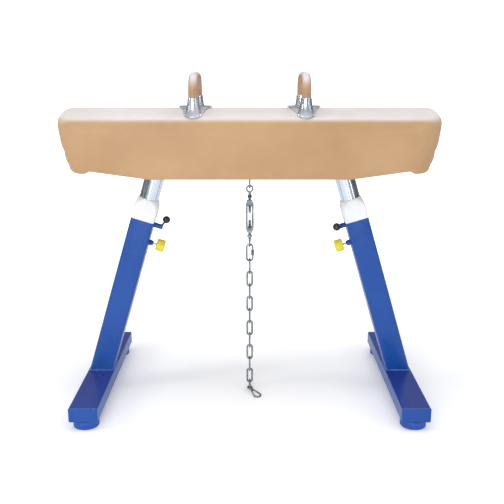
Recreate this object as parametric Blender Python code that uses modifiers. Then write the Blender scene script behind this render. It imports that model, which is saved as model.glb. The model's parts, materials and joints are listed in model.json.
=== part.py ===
"""A gymnastics pommel horse: padded body, two pommels, two telescopic legs and a tension chain.

Metres, +Z up, +X along the body. The origin is on the floor, midway between the four feet.
The left side (-X) is the right side turned half a turn about the vertical, so both sides
share their meshes.
"""

import math

import bmesh
import bpy
from mathutils import Matrix, Vector

# ---------------------------------------------------------------- driving dimensions
GAP = 0.0003                 # clearance left between pieces that touch

BODY_LENGTH = 1.550
BODY_WIDTH = 0.350
BODY_HEIGHT = 0.275
BODY_TOP = 1.260             # highest point of the crowned top
CROWN_RADIUS = 0.440         # cross-section arc of the top
CROWN_CORNER = 0.030         # fillet between crown and side
END_LEAN = math.radians(14)      # the ends lean in towards the bottom
END_TOP_RADIUS = 0.050
END_FOOT_RADIUS = 0.032
PLAN_CORNER = 0.050
FLAT_BELLY = 0.410           # half length of the level part of the underside
BELLY_END = 0.662            # where the rising underside meets the end lip
BELLY_RISE = 0.033
LIP_DEPTH = 0.010
COVER_WALL = 0.003
FOAM_WALL = 0.022
BOARD_THICKNESS = 0.012

POMMEL_SPACING = 0.450       # between the pommels' centre planes
POMMEL_HEIGHT = 0.143        # above the crown
POMMEL_LEG_SPACING = 0.260
POMMEL_TRAVEL = 0.025        # each pommel can be set this much further in
GRIP_RADIUS = 0.019
GRIP_BEND = 0.062            # centreline radius where the legs turn into the bar
SOCKET_HEIGHT = 0.045        # socket top above the crown
SOCKET_TOP_RADIUS = 0.022
SOCKET_NECK_RADIUS = 0.025
SOCKET_NECK = 0.030          # the neck lies this far below the socket's top
SOCKET_FOOT_RADIUS = 0.036
SADDLE_THICKNESS = 0.009
SADDLE_WAIST = 0.143         # widest, half way along
SADDLE_TIP = 0.075           # width near the front and rear tips
SADDLE_LENGTH = 0.318
STUD_RADIUS = 0.005
STUD_SEAT = 0.018            # how far a stud reaches above the crown
CLAMP_BAR_WIDTH = 0.040
CLAMP_BAR_THICKNESS = 0.012
CLAMP_BAR_OVERHANG = 0.009   # from a stud's centre to the end of the bar
CLAMP_BAR_DEPTH = 0.060      # top of the bar below the crown

LEG_LEAN = math.radians(17)
LEG_TUBE = 0.100
LEG_WALL = 0.004
LEG_TUBE_TOP = 0.787         # height of the tube's top, on its axis
LEG_FOOT_X = 0.672           # where the leg's axis meets the top of the base bar
BASE_LENGTH = 0.845
BASE_WIDTH = 0.118
BASE_HEIGHT = 0.060
BASE_WALL = 0.004
FOOT_RADIUS = 0.0525
FOOT_HEIGHT = 0.036
FOOT_INSET = 0.0535          # foot centre to the end of the bar
FOOT_STUD_RADIUS = 0.006
FOOT_STUD_LENGTH = 0.030
POST_RADIUS = 0.042
POST_WALL = 0.004
POST_INSERTION = 0.400       # length of post inside the leg tube
FLANGE_LENGTH = 0.110
FLANGE_WIDTH = 0.150
FLANGE_THICKNESS = 0.008
FLANGE_RECESS = 0.005        # flange face above the underside
INDEX_PITCH = 0.050
INDEX_HOLES = 5
INDEX_HOLE_RADIUS = 0.00625

COLLAR_WIDTH = 0.102
COLLAR_HEIGHT = 0.095        # above the tube
COLLAR_SHOULDER = 0.048      # full width up to here
COLLAR_TOP = 0.090
COLLAR_INSERTION = 0.040

CLAMP_DROP = 0.013           # clamp axis below the tube's top
CLAMP_BOSS_RADIUS = 0.011
CLAMP_BOSS_LENGTH = 0.024
CLAMP_HUB_LENGTH = 0.016
CLAMP_SPINDLE_RADIUS = 0.006
LEVER_RADIUS = 0.0045
LEVER_LENGTH = 0.075
LEVER_SPLAY = math.radians(8)
LEVER_RAISE = math.radians(15)
BALL_RADIUS = 0.017

PLUNGER_DROP = 0.095         # plunger axis below the tube's top
PLUNGER_BOSS_RADIUS = 0.012
PLUNGER_BOSS_TIP = 0.010
PLUNGER_BOSS_LENGTH = 0.019
PIN_RADIUS = 0.004
KNOB_RADIUS = 0.027
KNOB_THICKNESS = 0.036
KNOB_STANDOFF = 0.034        # knob's near face to the tube
KNOB_BORE_DEPTH = 0.018

WIRE = 0.004                 # chain link wire radius
LINK_BARS = 0.0664           # between the centres of a link's two end bars
LINK_BEND = 0.011            # centreline radius of a link's ends
QUICK_WIRE = 0.004
QUICK_BARS = 0.0746
QUICK_BEND = 0.013
SLEEVE_RADIUS = 0.0075
SLEEVE_LENGTH = 0.024
EYE_WIRE = 0.004
LOWER_EYE_BEND = 0.01275
UPPER_EYE_BEND = 0.01325
STEM_RADIUS = 0.006
NUT_RADIUS = 0.011
NUT_THICKNESS = 0.011
NUT_STANDOFF = 0.0105        # from each locknut to the turnbuckle body
EYE_TO_NUT = 0.028           # eye centre to the near face of its locknut
SCREW_DEPTH = 0.057          # stem inside the turnbuckle body
BUCKLE_LENGTH = 0.143
BUCKLE_WIDTH = 0.036
BUCKLE_NECK = 0.021
BUCKLE_SHOULDER = 0.018
BUCKLE_DEPTH = 0.020
BUCKLE_SLOT = 0.016
ANCHOR_WIRE = 0.004
ANCHOR_HALF_WIDTH = 0.013
ANCHOR_PLATE = (0.090, 0.070, 0.006)
ANCHOR_LOOP_LEAST = 0.040    # shortest drop of the anchor loop below the underside
FLOOR_CLEARANCE = 0.0005

SWIVEL_WIRE = 0.0035
SWIVEL_BEND = 0.009
SWIVEL_BARREL_RADIUS = 0.0075
SWIVEL_BARREL_LENGTH = 0.012
SWIVEL_COLLAR_RADIUS = 0.0065
SWIVEL_COLLAR_LENGTH = 0.005
SWIVEL_PIN_RADIUS = 0.003
SWIVEL_PIN_DEPTH = 0.006
HOOK_WIRE = 0.0035
HOOK_BARS = 0.055            # between the centres of the hook's two end bars
HOOK_TOP_BEND = 0.008
HOOK_FOOT_BEND = 0.0155
HOOK_TURN = math.radians(30)     # the hook lies turned this far to the right
GATE_RADIUS = 0.003
GATE_START = 0.16            # share of the hook's straight side above the gate
GATE_HINGE_GAP = 0.0018      # room for the gate's end to turn

SMOOTH_ANGLE = math.radians(35)
ARC_STEP = math.radians(15)
CROWN_STEP = math.radians(4)
WIRE_STEP = math.radians(30)

# ---------------------------------------------------------------- derived positions
UNDERSIDE = BODY_TOP - BODY_HEIGHT
BAR_TOP = FOOT_HEIGHT + BASE_HEIGHT
INNER_TUBE = LEG_TUBE - 2 * LEG_WALL
LEG_TOP_X = LEG_FOOT_X - (LEG_TUBE_TOP - BAR_TOP) * math.tan(LEG_LEAN)
POST_TOP_X = LEG_TOP_X - (UNDERSIDE - LEG_TUBE_TOP) * math.tan(LEG_LEAN)
FLANGE_FOOT = UNDERSIDE + FLANGE_RECESS
SOCKET_Y = POMMEL_LEG_SPACING / 2

STEEL = ("zinc_steel", (0.62, 0.64, 0.66), 0.32, 1.0)
DARK_STEEL = ("dark_steel", (0.20, 0.21, 0.22), 0.35, 1.0)
CAST = ("polished_casting", (0.74, 0.75, 0.77), 0.22, 1.0)
LEATHER = ("leather", (0.70, 0.50, 0.33), 0.55, 0.0)
FOAM = ("foam", (0.80, 0.78, 0.70), 0.9, 0.0)
WOOD = ("beech", (0.72, 0.55, 0.36), 0.6, 0.0)
GRIP = ("grip", (0.72, 0.55, 0.42), 0.45, 0.0)
BLUE = ("blue_paint", (0.03, 0.10, 0.42), 0.18, 0.0)
WHITE = ("white_plastic", (0.86, 0.87, 0.88), 0.4, 0.0)
BLACK = ("black_plastic", (0.01, 0.01, 0.01), 0.25, 0.0)
YELLOW = ("yellow_plastic", (0.85, 0.78, 0.03), 0.4, 0.0)


# ---------------------------------------------------------------- scene and objects
def clear_scene():
    for item in list(bpy.data.objects):
        bpy.data.objects.remove(item)


def material(finish):
    name, colour, roughness, metallic = finish
    made = bpy.data.materials.get(name)
    if made is None:
        made = bpy.data.materials.new(name)
        made.use_nodes = True
        shader = made.node_tree.nodes["Principled BSDF"]
        shader.inputs["Base Color"].default_value = (*colour, 1)
        shader.inputs["Roughness"].default_value = roughness
        shader.inputs["Metallic"].default_value = metallic
        made.diffuse_color = (*colour, 1)
    return made


def empty(name, parent=None, matrix=Matrix.Identity(4)):
    made = bpy.data.objects.new(name, None)
    collection.objects.link(made)
    made.parent = parent
    made.matrix_local = matrix
    return made


def place(name, mesh, finish, parent=None, matrix=Matrix.Identity(4)):
    """The finished piece: one named object with its material, smooth where it is round."""
    if not mesh.materials:
        mesh.materials.append(material(finish))
        mesh.shade_smooth()
        mesh.set_sharp_from_angle(angle=SMOOTH_ANGLE)
    made = bpy.data.objects.new(name, mesh)
    collection.objects.link(made)
    made.parent = parent
    made.matrix_local = matrix
    return made


def place_pair(name, mesh, finish, matrix=Matrix.Identity(4)):
    """The right piece and its left twin, half a turn round the vertical."""
    for side, centre in sides.items():
        place(f"{side}_{name}", mesh, finish, centre, matrix)


def place_front_and_rear(name, mesh, finish, x, y, z):
    """A piece near each end of both base bars, named for the end that it is really at."""
    for side, centre in sides.items():
        rear = 1 if side == "right" else -1
        for word, sign in (("front", -rear), ("rear", rear)):
            place(f"{side}_{word}_{name}", mesh, finish, centre, Matrix.Translation((x, sign * y, z)))


# ---------------------------------------------------------------- shapes
def as_object(bm):
    mesh = bpy.data.meshes.new("shape")
    bm.to_mesh(mesh)
    bm.free()
    made = bpy.data.objects.new("shape", mesh)
    bpy.context.scene.collection.objects.link(made)
    return made


def moved(shape, matrix):
    shape.data.transform(matrix)
    return shape


def box(size, centre=(0, 0, 0), rounding=0.0):
    """A box; rounding softens its four edges along Z."""
    bm = bmesh.new()
    bmesh.ops.create_cube(bm, size=1.0)
    bmesh.ops.scale(bm, vec=size, verts=bm.verts)
    if rounding:
        upright = [e for e in bm.edges if abs((e.verts[0].co - e.verts[1].co).z) > size[2] / 2]
        bmesh.ops.bevel(bm, geom=upright, offset=rounding, segments=3, profile=0.5, affect="EDGES")
    bmesh.ops.translate(bm, vec=centre, verts=bm.verts)
    return as_object(bm)


def rod(radius, start, end, tip_radius=None, sides_round=16):
    """A cylinder or cone from one point to another."""
    start, end = Vector(start), Vector(end)
    bm = bmesh.new()
    bmesh.ops.create_cone(
        bm, cap_ends=True, segments=sides_round, depth=(end - start).length,
        radius1=radius, radius2=radius if tip_radius is None else tip_radius,
    )
    turn = (end - start).to_track_quat("Z", "Y").to_matrix().to_4x4()
    bmesh.ops.transform(bm, matrix=Matrix.Translation((start + end) / 2) @ turn, verts=bm.verts)
    return as_object(bm)


def ring(radius, wire, centre=(0, 0, 0)):
    """A round eye of wire, standing in the XZ plane."""
    bpy.ops.mesh.primitive_torus_add(
        major_radius=radius, minor_radius=wire, major_segments=20, minor_segments=8,
        rotation=(math.pi / 2, 0, 0), location=centre,
    )
    made = bpy.context.object
    made.data.transform(made.matrix_world)
    made.matrix_world = Matrix.Identity(4)
    return made


def turned(profile, steps=24):
    """A solid turned about X from (x, radius) pairs that start and end on the axis."""
    mesh = bpy.data.meshes.new("profile")
    points = [(x, 0, radius) for x, radius in profile]
    mesh.from_pydata(points, [(i, i + 1) for i in range(len(points) - 1)], [])
    made = bpy.data.objects.new("profile", mesh)
    bpy.context.scene.collection.objects.link(made)
    screw = made.modifiers.new("turn", "SCREW")
    screw.axis = "X"
    screw.steps = screw.render_steps = steps
    screw.use_merge_vertices = True
    screw.merge_threshold = 0.00001
    return outward(baked(made))


def wire_shape(points, radius, cyclic=False, resolution=2):
    """Round wire along a line of points, with filled ends unless it closes on itself."""
    curve = bpy.data.curves.new("wire", "CURVE")
    curve.dimensions = "3D"
    curve.bevel_depth = radius
    curve.bevel_resolution = resolution
    curve.use_fill_caps = not cyclic
    spline = curve.splines.new("POLY")
    spline.points.add(len(points) - 1)
    for target, point in zip(spline.points, points):
        target.co = (*point, 1)
    spline.use_cyclic_u = cyclic
    made = bpy.data.objects.new("wire", curve)
    bpy.context.scene.collection.objects.link(made)
    return outward(baked(made))


def slab(outline, thickness):
    """A flat outline in XY, thickened evenly both ways along Z."""
    curve = bpy.data.curves.new("outline", "CURVE")
    curve.dimensions = "2D"
    curve.fill_mode = "BOTH"
    curve.extrude = thickness / 2
    spline = curve.splines.new("POLY")
    spline.points.add(len(outline) - 1)
    for target, (x, y) in zip(spline.points, outline):
        target.co = (x, y, 0, 1)
    spline.use_cyclic_u = True
    made = bpy.data.objects.new("outline", curve)
    bpy.context.scene.collection.objects.link(made)
    return outward(baked(made))


def loft(sections):
    """A closed solid through (height, outline) sections with equal numbers of points."""
    bm = bmesh.new()
    rows = [[bm.verts.new((x, y, height)) for x, y in outline] for height, outline in sections]
    for lower, upper in zip(rows, rows[1:]):
        for i in range(len(lower)):
            j = (i + 1) % len(lower)
            bm.faces.new((lower[i], lower[j], upper[j], upper[i]))
    bm.faces.new(list(reversed(rows[0])))
    bm.faces.new(rows[-1])
    return outward(as_object(bm))


def baked(shape):
    """The same shape as a plain mesh object, with its modifiers or curve settings applied."""
    bpy.context.view_layer.update()
    graph = bpy.context.evaluated_depsgraph_get()
    mesh = bpy.data.meshes.new_from_object(shape.evaluated_get(graph))
    mesh.materials.clear()
    made = bpy.data.objects.new("shape", mesh)
    bpy.context.scene.collection.objects.link(made)
    bpy.data.objects.remove(shape)
    return made


def outward(shape):
    """Loose caps welded on, and faces pointing out."""
    bm = bmesh.new()
    bm.from_mesh(shape.data)
    bmesh.ops.remove_doubles(bm, verts=bm.verts, dist=0.000001)
    bmesh.ops.recalc_face_normals(bm, faces=bm.faces)
    bm.to_mesh(shape.data)
    bm.free()
    return shape


def combined(base, operation, *tools):
    for tool in tools:
        modifier = base.modifiers.new("combine", "BOOLEAN")
        modifier.operation = operation
        modifier.object = tool
    made = baked(base)
    for tool in tools:
        bpy.data.objects.remove(tool)
    return made


def cut(base, *tools):
    return combined(base, "DIFFERENCE", *tools)


def joined(base, *tools):
    return combined(base, "UNION", *tools)


def overlap(base, *tools):
    return combined(base, "INTERSECT", *tools)


def mesh_from(shape):
    """The mesh of a finished shape; its scratch object goes."""
    mesh = shape.data
    bpy.data.objects.remove(shape)
    return mesh


def arc(centre, radius, start, end, step=ARC_STEP):
    """Points along an arc, ends included, no further apart than the step."""
    count = max(1, math.ceil(abs(end - start) / step - 1e-6))
    angles = [start + (end - start) * i / count for i in range(count + 1)]
    return [(centre[0] + radius * math.cos(a), centre[1] + radius * math.sin(a)) for a in angles]


def rounded(corners):
    """A closed outline from (x, y, radius) corners; a corner of radius 0 stays sharp."""
    outline = []
    for i, (x, y, radius) in enumerate(corners):
        here = Vector((x, y))
        if not radius:
            outline.append((x, y))
            continue
        back = (Vector(corners[i - 1][:2]) - here).normalized()
        ahead = (Vector(corners[(i + 1) % len(corners)][:2]) - here).normalized()
        half = back.angle(ahead) / 2
        centre = here + (back + ahead).normalized() * (radius / math.sin(half))
        first = here + back * (radius / math.tan(half)) - centre
        last = here + ahead * (radius / math.tan(half)) - centre
        start = math.atan2(first.y, first.x)
        turn = (math.atan2(last.y, last.x) - start + math.pi) % (2 * math.pi) - math.pi
        outline += arc(centre, radius, start, start + turn)
    return outline


def rounded_rectangle(half_x, half_y, radius):
    signs = ((1, 1), (-1, 1), (-1, -1), (1, -1))
    return rounded([(sx * half_x, sy * half_y, radius) for sx, sy in signs])


def stadium(bars, bend):
    """The centreline of a link in XZ: its two end bars lie at z 0 and z -bars."""
    side = bars - 2 * bend
    top = arc((0, -bend), bend, 0, math.pi, WIRE_STEP)
    foot = arc((0, -bend - side), bend, math.pi, 2 * math.pi, WIRE_STEP)
    return [(x, 0, z) for x, z in top + foot]


Z_FROM_X = Matrix.Rotation(-math.pi / 2, 4, "Y")         # a shape turned about X stood upright
XZ_FROM_XY = Matrix.Rotation(math.pi / 2, 4, "X")       # an XY outline stood up, Y to Z
YZ_FROM_XY = Matrix.Rotation(math.pi / 2, 4, "Z") @ XZ_FROM_XY   # X to Y, Y to Z


# ---------------------------------------------------------------- the padded body
def end_x(height, inset):
    """Half length of the leaning end face at a height."""
    centre_x = BODY_LENGTH / 2 - END_TOP_RADIUS
    centre_z = BODY_TOP - END_TOP_RADIUS
    reach = END_TOP_RADIUS - inset + (height - centre_z) * math.sin(END_LEAN)
    return centre_x + reach / math.cos(END_LEAN)


def crown_section(inset, length):
    """The cross-section of the body, crowned on top, as a bar along X."""
    half = BODY_WIDTH / 2 - inset
    top = BODY_TOP - inset
    radius = CROWN_RADIUS - inset
    corner = CROWN_CORNER - inset
    centre_z = top - radius
    fillet_y = half - corner
    fillet_z = centre_z + math.sqrt((radius - corner) ** 2 - fillet_y ** 2)
    lean = math.atan2(fillet_z - centre_z, fillet_y)
    crown = arc((0, centre_z), radius, lean, math.pi - lean, CROWN_STEP)
    right = arc((fillet_y, fillet_z), corner, 0, lean)
    left = arc((-fillet_y, fillet_z), corner, math.pi - lean, math.pi)
    foot = UNDERSIDE - BODY_HEIGHT
    outline = right + crown[1:-1] + left + [(-half, foot), (half, foot)]
    return moved(slab(outline, length), YZ_FROM_XY)


def side_profile(inset, lift=0.0, open_below=False):
    """The body seen from the side; lift raises the underside, open_below runs it down."""
    top = BODY_TOP - inset
    if open_below:
        foot = UNDERSIDE - BODY_HEIGHT
        below = [(end_x(UNDERSIDE, inset), UNDERSIDE, 0), (end_x(UNDERSIDE, inset), foot, 0)]
    else:
        lip = UNDERSIDE + BELLY_RISE - LIP_DEPTH + lift
        foot_radius = max(END_FOOT_RADIUS - inset, 0.005)
        below = [
            (end_x(lip, inset), lip, foot_radius),
            (BELLY_END, lip, 0),
            (BELLY_END - LIP_DEPTH, lip + LIP_DEPTH, 0),
            (FLAT_BELLY, UNDERSIDE + lift, 0),
        ]
    right = [(end_x(top, inset), top, END_TOP_RADIUS - inset), *below]
    corners = right + [(-x, z, radius) for x, z, radius in reversed(right)]
    return moved(slab(rounded(corners), 2 * BODY_WIDTH), XZ_FROM_XY)


def end_rounding(inset):
    """A block that leans in towards the bottom and is rounded at its four upright corners."""
    heights = (UNDERSIDE - BODY_HEIGHT, BODY_TOP + BODY_HEIGHT)
    return loft([
        (z, rounded_rectangle(end_x(z, inset), BODY_WIDTH / 2 - inset, PLAN_CORNER - inset))
        for z in heights
    ])


def horse_block(inset, **underside):
    return overlap(
        side_profile(inset, **underside), crown_section(inset, 2 * BODY_LENGTH), end_rounding(inset)
    )


def pommel_middles():
    """The middle of each pommel's travel."""
    middle = (POMMEL_SPACING - POMMEL_TRAVEL) / 2
    return (-middle, middle)


def stud_slots():
    """The slots that the pommels' studs pass through, long enough for their travel."""
    half = STUD_RADIUS + GAP
    foot, top = BODY_TOP - CLAMP_BAR_DEPTH, BODY_TOP + CLAMP_BAR_DEPTH
    slots = []
    for x in pommel_middles():
        for y in (-SOCKET_Y, SOCKET_Y):
            outline = rounded_rectangle(half + POMMEL_TRAVEL / 2, half, half * 0.98)
            at = Matrix.Translation((x, y, (top + foot) / 2))
            slots.append(moved(slab(outline, top - foot), at))
    return slots


def clamp_bar_length():
    return POMMEL_LEG_SPACING + 2 * CLAMP_BAR_OVERHANG


def clamp_pockets():
    """Recesses in the core in which the pommels' clamp bars slide."""
    foot = BODY_TOP - CLAMP_BAR_DEPTH - CLAMP_BAR_THICKNESS - GAP
    length = CLAMP_BAR_WIDTH + POMMEL_TRAVEL + 2 * GAP
    size = (length, clamp_bar_length() + 2 * GAP, 2 * (BODY_TOP - foot))
    return [box(size, (x, 0, BODY_TOP)) for x in pommel_middles()]


def mounting_pockets():
    """Recesses from below for the posts' flanges and the chain's anchor plate."""
    pockets = []
    flange_top = FLANGE_FOOT + FLANGE_THICKNESS + GAP
    for x in (-POST_TOP_X, POST_TOP_X):
        size = (FLANGE_LENGTH + 2 * GAP, FLANGE_WIDTH + 2 * GAP, 2 * (flange_top - UNDERSIDE))
        pockets.append(box(size, (x, 0, UNDERSIDE)))
    length, width, thickness = ANCHOR_PLATE
    pockets.append(box((length + 2 * GAP, width + 2 * GAP, 2 * (thickness + GAP)), (0, 0, UNDERSIDE)))
    return pockets


def build_body():
    centre = empty("horse_body")
    foam_inset = COVER_WALL + GAP
    foam_inside = foam_inset + FOAM_WALL
    core_inset = foam_inside + GAP

    cover = cut(horse_block(0.0), horse_block(COVER_WALL, open_below=True), *stud_slots())
    place("leather_cover", mesh_from(cover), LEATHER, centre)

    foam = cut(horse_block(foam_inset), horse_block(foam_inside, open_below=True), *stud_slots())
    place("foam_padding", mesh_from(foam), FOAM, centre)

    core = cut(
        horse_block(core_inset, lift=BOARD_THICKNESS + GAP), *clamp_pockets(), *mounting_pockets()
    )
    place("wood_core", mesh_from(core), WOOD, centre)

    above_board = side_profile(core_inset, lift=BOARD_THICKNESS)
    board = cut(horse_block(core_inset), above_board, *mounting_pockets())
    place("bottom_board", mesh_from(board), WOOD, centre)


# ---------------------------------------------------------------- the pommels
def grip_line():
    """The grip's centreline in YZ: two upright legs and a level bar, with round corners."""
    foot = BODY_TOP + SOCKET_HEIGHT + GAP
    top = BODY_TOP + POMMEL_HEIGHT - GRIP_RADIUS
    inner = SOCKET_Y - GRIP_BEND
    rear = arc((inner, top - GRIP_BEND), GRIP_BEND, 0, math.pi / 2)
    front = arc((-inner, top - GRIP_BEND), GRIP_BEND, math.pi / 2, math.pi)
    return [(0, y, z) for y, z in [(SOCKET_Y, foot), *rear, *front, (-SOCKET_Y, foot)]]


def socket_shape(y):
    """The flared socket that a grip leg stands in."""
    top = BODY_TOP + SOCKET_HEIGHT
    foot = BODY_TOP - CLAMP_BAR_DEPTH
    profile = [
        (foot, 0), (foot, SOCKET_FOOT_RADIUS), (top - 2 * SOCKET_NECK, SOCKET_FOOT_RADIUS),
        (top - SOCKET_NECK, SOCKET_NECK_RADIUS), (top, SOCKET_TOP_RADIUS), (top, 0),
    ]
    return moved(turned(profile), Matrix.Translation((0, y, 0)) @ Z_FROM_X)


def saddle_outline():
    """The base plate in plan: widest in the middle, narrower at both rounded tips."""
    quarter = [
        (SADDLE_WAIST / 2, 0.006, 0.004),
        (SADDLE_TIP / 2, SADDLE_LENGTH / 2 - 0.022, 0.020),
        (SADDLE_TIP / 2 - 0.014, SADDLE_LENGTH / 2, 0.014),
    ]
    half = quarter + [(-x, y, radius) for x, y, radius in reversed(quarter)]
    return rounded(half + [(-x, -y, radius) for x, y, radius in half])


def build_pommels():
    length = 2 * SADDLE_WAIST
    saddle = overlap(
        moved(slab(saddle_outline(), BODY_HEIGHT), Matrix.Translation((0, 0, BODY_TOP))),
        crown_section(-SADDLE_THICKNESS, length),
    )
    stud_ys = (-SOCKET_Y, SOCKET_Y)
    bar_top = BODY_TOP - CLAMP_BAR_DEPTH
    seat = BODY_TOP + STUD_SEAT
    holes = [
        rod(STUD_RADIUS + GAP, (0, y, bar_top), (0, y, seat + GAP), sides_round=12) for y in stud_ys
    ]
    base = cut(
        joined(saddle, *[socket_shape(y) for y in stud_ys]), crown_section(-GAP, 2 * length), *holes
    )

    bar_middle = bar_top - CLAMP_BAR_THICKNESS / 2
    bar_size = (CLAMP_BAR_WIDTH, clamp_bar_length(), CLAMP_BAR_THICKNESS)
    bar = box(bar_size, (0, 0, bar_middle), rounding=0.006)
    studs = [rod(STUD_RADIUS, (0, y, bar_middle), (0, y, seat), sides_round=12) for y in stud_ys]
    at = Matrix.Translation((POMMEL_SPACING / 2, 0, 0))
    place_pair("pommel_grip", mesh_from(wire_shape(grip_line(), GRIP_RADIUS, resolution=4)), GRIP, at)
    place_pair("pommel_base", mesh_from(base), CAST, at)
    place_pair("pommel_clamp_bar", mesh_from(joined(bar, *studs)), STEEL, at)


# ---------------------------------------------------------------- the legs
def leg_matrix():
    """The right leg's frame: origin at the tube's top, +Z up the leg, +X inwards."""
    inward = Vector((-math.cos(LEG_LEAN), 0, -math.sin(LEG_LEAN)))
    up = Vector((-math.sin(LEG_LEAN), 0, math.cos(LEG_LEAN)))
    turn = Matrix((inward, up.cross(inward), up)).transposed().to_4x4()
    return Matrix.Translation((LEG_TOP_X, 0, LEG_TUBE_TOP)) @ turn


def across(radius, height, start, end, sides_round=16):
    """A rod along the leg frame's X, for bosses, screws and the holes they pass through."""
    return rod(radius, (start, 0, height), (end, 0, height), sides_round=sides_round)


def build_base():
    centre_y = BASE_LENGTH / 2
    plate_y = centre_y - BASE_WALL / 2
    middle_z = FOOT_HEIGHT + BASE_HEIGHT / 2
    bar_length = BASE_LENGTH - 2 * (BASE_WALL + GAP)
    upright = Matrix.Rotation(math.pi / 2, 4, "X")
    bar = cut(
        moved(box((BASE_WIDTH, BASE_HEIGHT, bar_length), rounding=0.004), upright),
        box((BASE_WIDTH - 2 * BASE_WALL, 2 * bar_length, BASE_HEIGHT - 2 * BASE_WALL)),
    )
    foot_y = centre_y - FOOT_INSET
    stud_holes = [
        rod(FOOT_STUD_RADIUS + GAP, (0, y, -BASE_HEIGHT), (0, y, 0)) for y in (-foot_y, foot_y)
    ]
    at = Matrix.Translation((LEG_FOOT_X, 0, middle_z))
    place_pair("base_bar", mesh_from(cut(bar, *stud_holes)), BLUE, at)

    plate = mesh_from(moved(box((BASE_WIDTH, BASE_HEIGHT, BASE_WALL), rounding=0.004), upright))
    stud_top = FOOT_HEIGHT + FOOT_STUD_LENGTH
    foot = turned([
        (0, 0), (0, FOOT_RADIUS - 0.002), (0.002, FOOT_RADIUS),
        (FOOT_HEIGHT - 0.006, FOOT_RADIUS), (FOOT_HEIGHT - GAP, FOOT_RADIUS - 0.004),
        (FOOT_HEIGHT - GAP, FOOT_STUD_RADIUS), (stud_top, FOOT_STUD_RADIUS), (stud_top, 0),
    ], steps=28)
    foot = mesh_from(moved(foot, Z_FROM_X))
    place_front_and_rear("end_plate", plate, BLUE, LEG_FOOT_X, plate_y, middle_z)
    place_front_and_rear("foot", foot, BLUE, LEG_FOOT_X, foot_y, 0)


def build_leg_tube(leg):
    length = (LEG_TUBE_TOP - BAR_TOP) / math.cos(LEG_LEAN) + LEG_TUBE
    tube = cut(
        box((LEG_TUBE, LEG_TUBE, length), (0, 0, -length / 2), rounding=0.007),
        box((INNER_TUBE, INNER_TUBE, 2 * length), (0, 0, -length / 2)),
        across(CLAMP_SPINDLE_RADIUS + GAP, -CLAMP_DROP, 0, LEG_TUBE),
        across(PIN_RADIUS + GAP, -PLUNGER_DROP, 0, LEG_TUBE),
    )
    ground = box((1, 1, 1), (LEG_FOOT_X, 0, BAR_TOP + GAP - 0.5))
    tube = cut(tube, moved(ground, leg.inverted()))
    place_pair("leg_tube", mesh_from(tube), BLUE, leg)


def build_collar(leg):
    """The plastic guide: a square plug in the tube and a shoulder that narrows to the post."""
    plug = INNER_TUBE / 2 - GAP
    half = COLLAR_WIDTH / 2
    corners = ((half, 0.007), (half, 0.007), (COLLAR_TOP / 2, 0.030))
    heights = (GAP, COLLAR_SHOULDER, COLLAR_HEIGHT)
    shoulder = loft([
        (height, rounded_rectangle(reach, reach, corner))
        for height, (reach, corner) in zip(heights, corners)
    ])
    overlap_height = 0.010
    collar = joined(
        shoulder,
        box((2 * plug, 2 * plug, COLLAR_INSERTION + overlap_height),
            (0, 0, (overlap_height - COLLAR_INSERTION) / 2)),
    )
    collar = cut(
        collar,
        rod(POST_RADIUS + GAP, (0, 0, -LEG_TUBE), (0, 0, 2 * COLLAR_HEIGHT), sides_round=32),
        across(CLAMP_SPINDLE_RADIUS + GAP, -CLAMP_DROP, 0, LEG_TUBE),
    )
    place_pair("guide_collar", mesh_from(collar), WHITE, leg)


def build_post(leg):
    """The inner tube, with the index holes on its inward side, and its mounting flange."""
    rise = (FLANGE_FOOT - LEG_TUBE_TOP) / math.cos(LEG_LEAN)
    overrun = FLANGE_WIDTH / 2
    post = moved(
        rod(POST_RADIUS, (0, 0, -POST_INSERTION), (0, 0, rise + overrun), sides_round=32), leg
    )
    flange_middle = FLANGE_FOOT + FLANGE_THICKNESS / 2
    flange_size = (FLANGE_LENGTH, FLANGE_WIDTH, FLANGE_THICKNESS)
    flange = box(flange_size, (POST_TOP_X, 0, flange_middle), rounding=0.010)
    above_flange = box((1, 1, 1), (POST_TOP_X, 0, flange_middle + 0.5))
    post = moved(joined(cut(post, above_flange), flange), leg.inverted())
    bore_top = rise - POST_RADIUS * math.tan(LEG_LEAN)
    bore = rod(
        POST_RADIUS - POST_WALL, (0, 0, -2 * POST_INSERTION), (0, 0, bore_top), sides_round=32
    )
    holes = [
        across(INDEX_HOLE_RADIUS, -PLUNGER_DROP - INDEX_PITCH * (i - 0.5), 0, LEG_TUBE, 12)
        for i in range(INDEX_HOLES)
    ]
    place_pair("post", mesh_from(cut(post, bore, *holes)), STEEL, leg)


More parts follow.
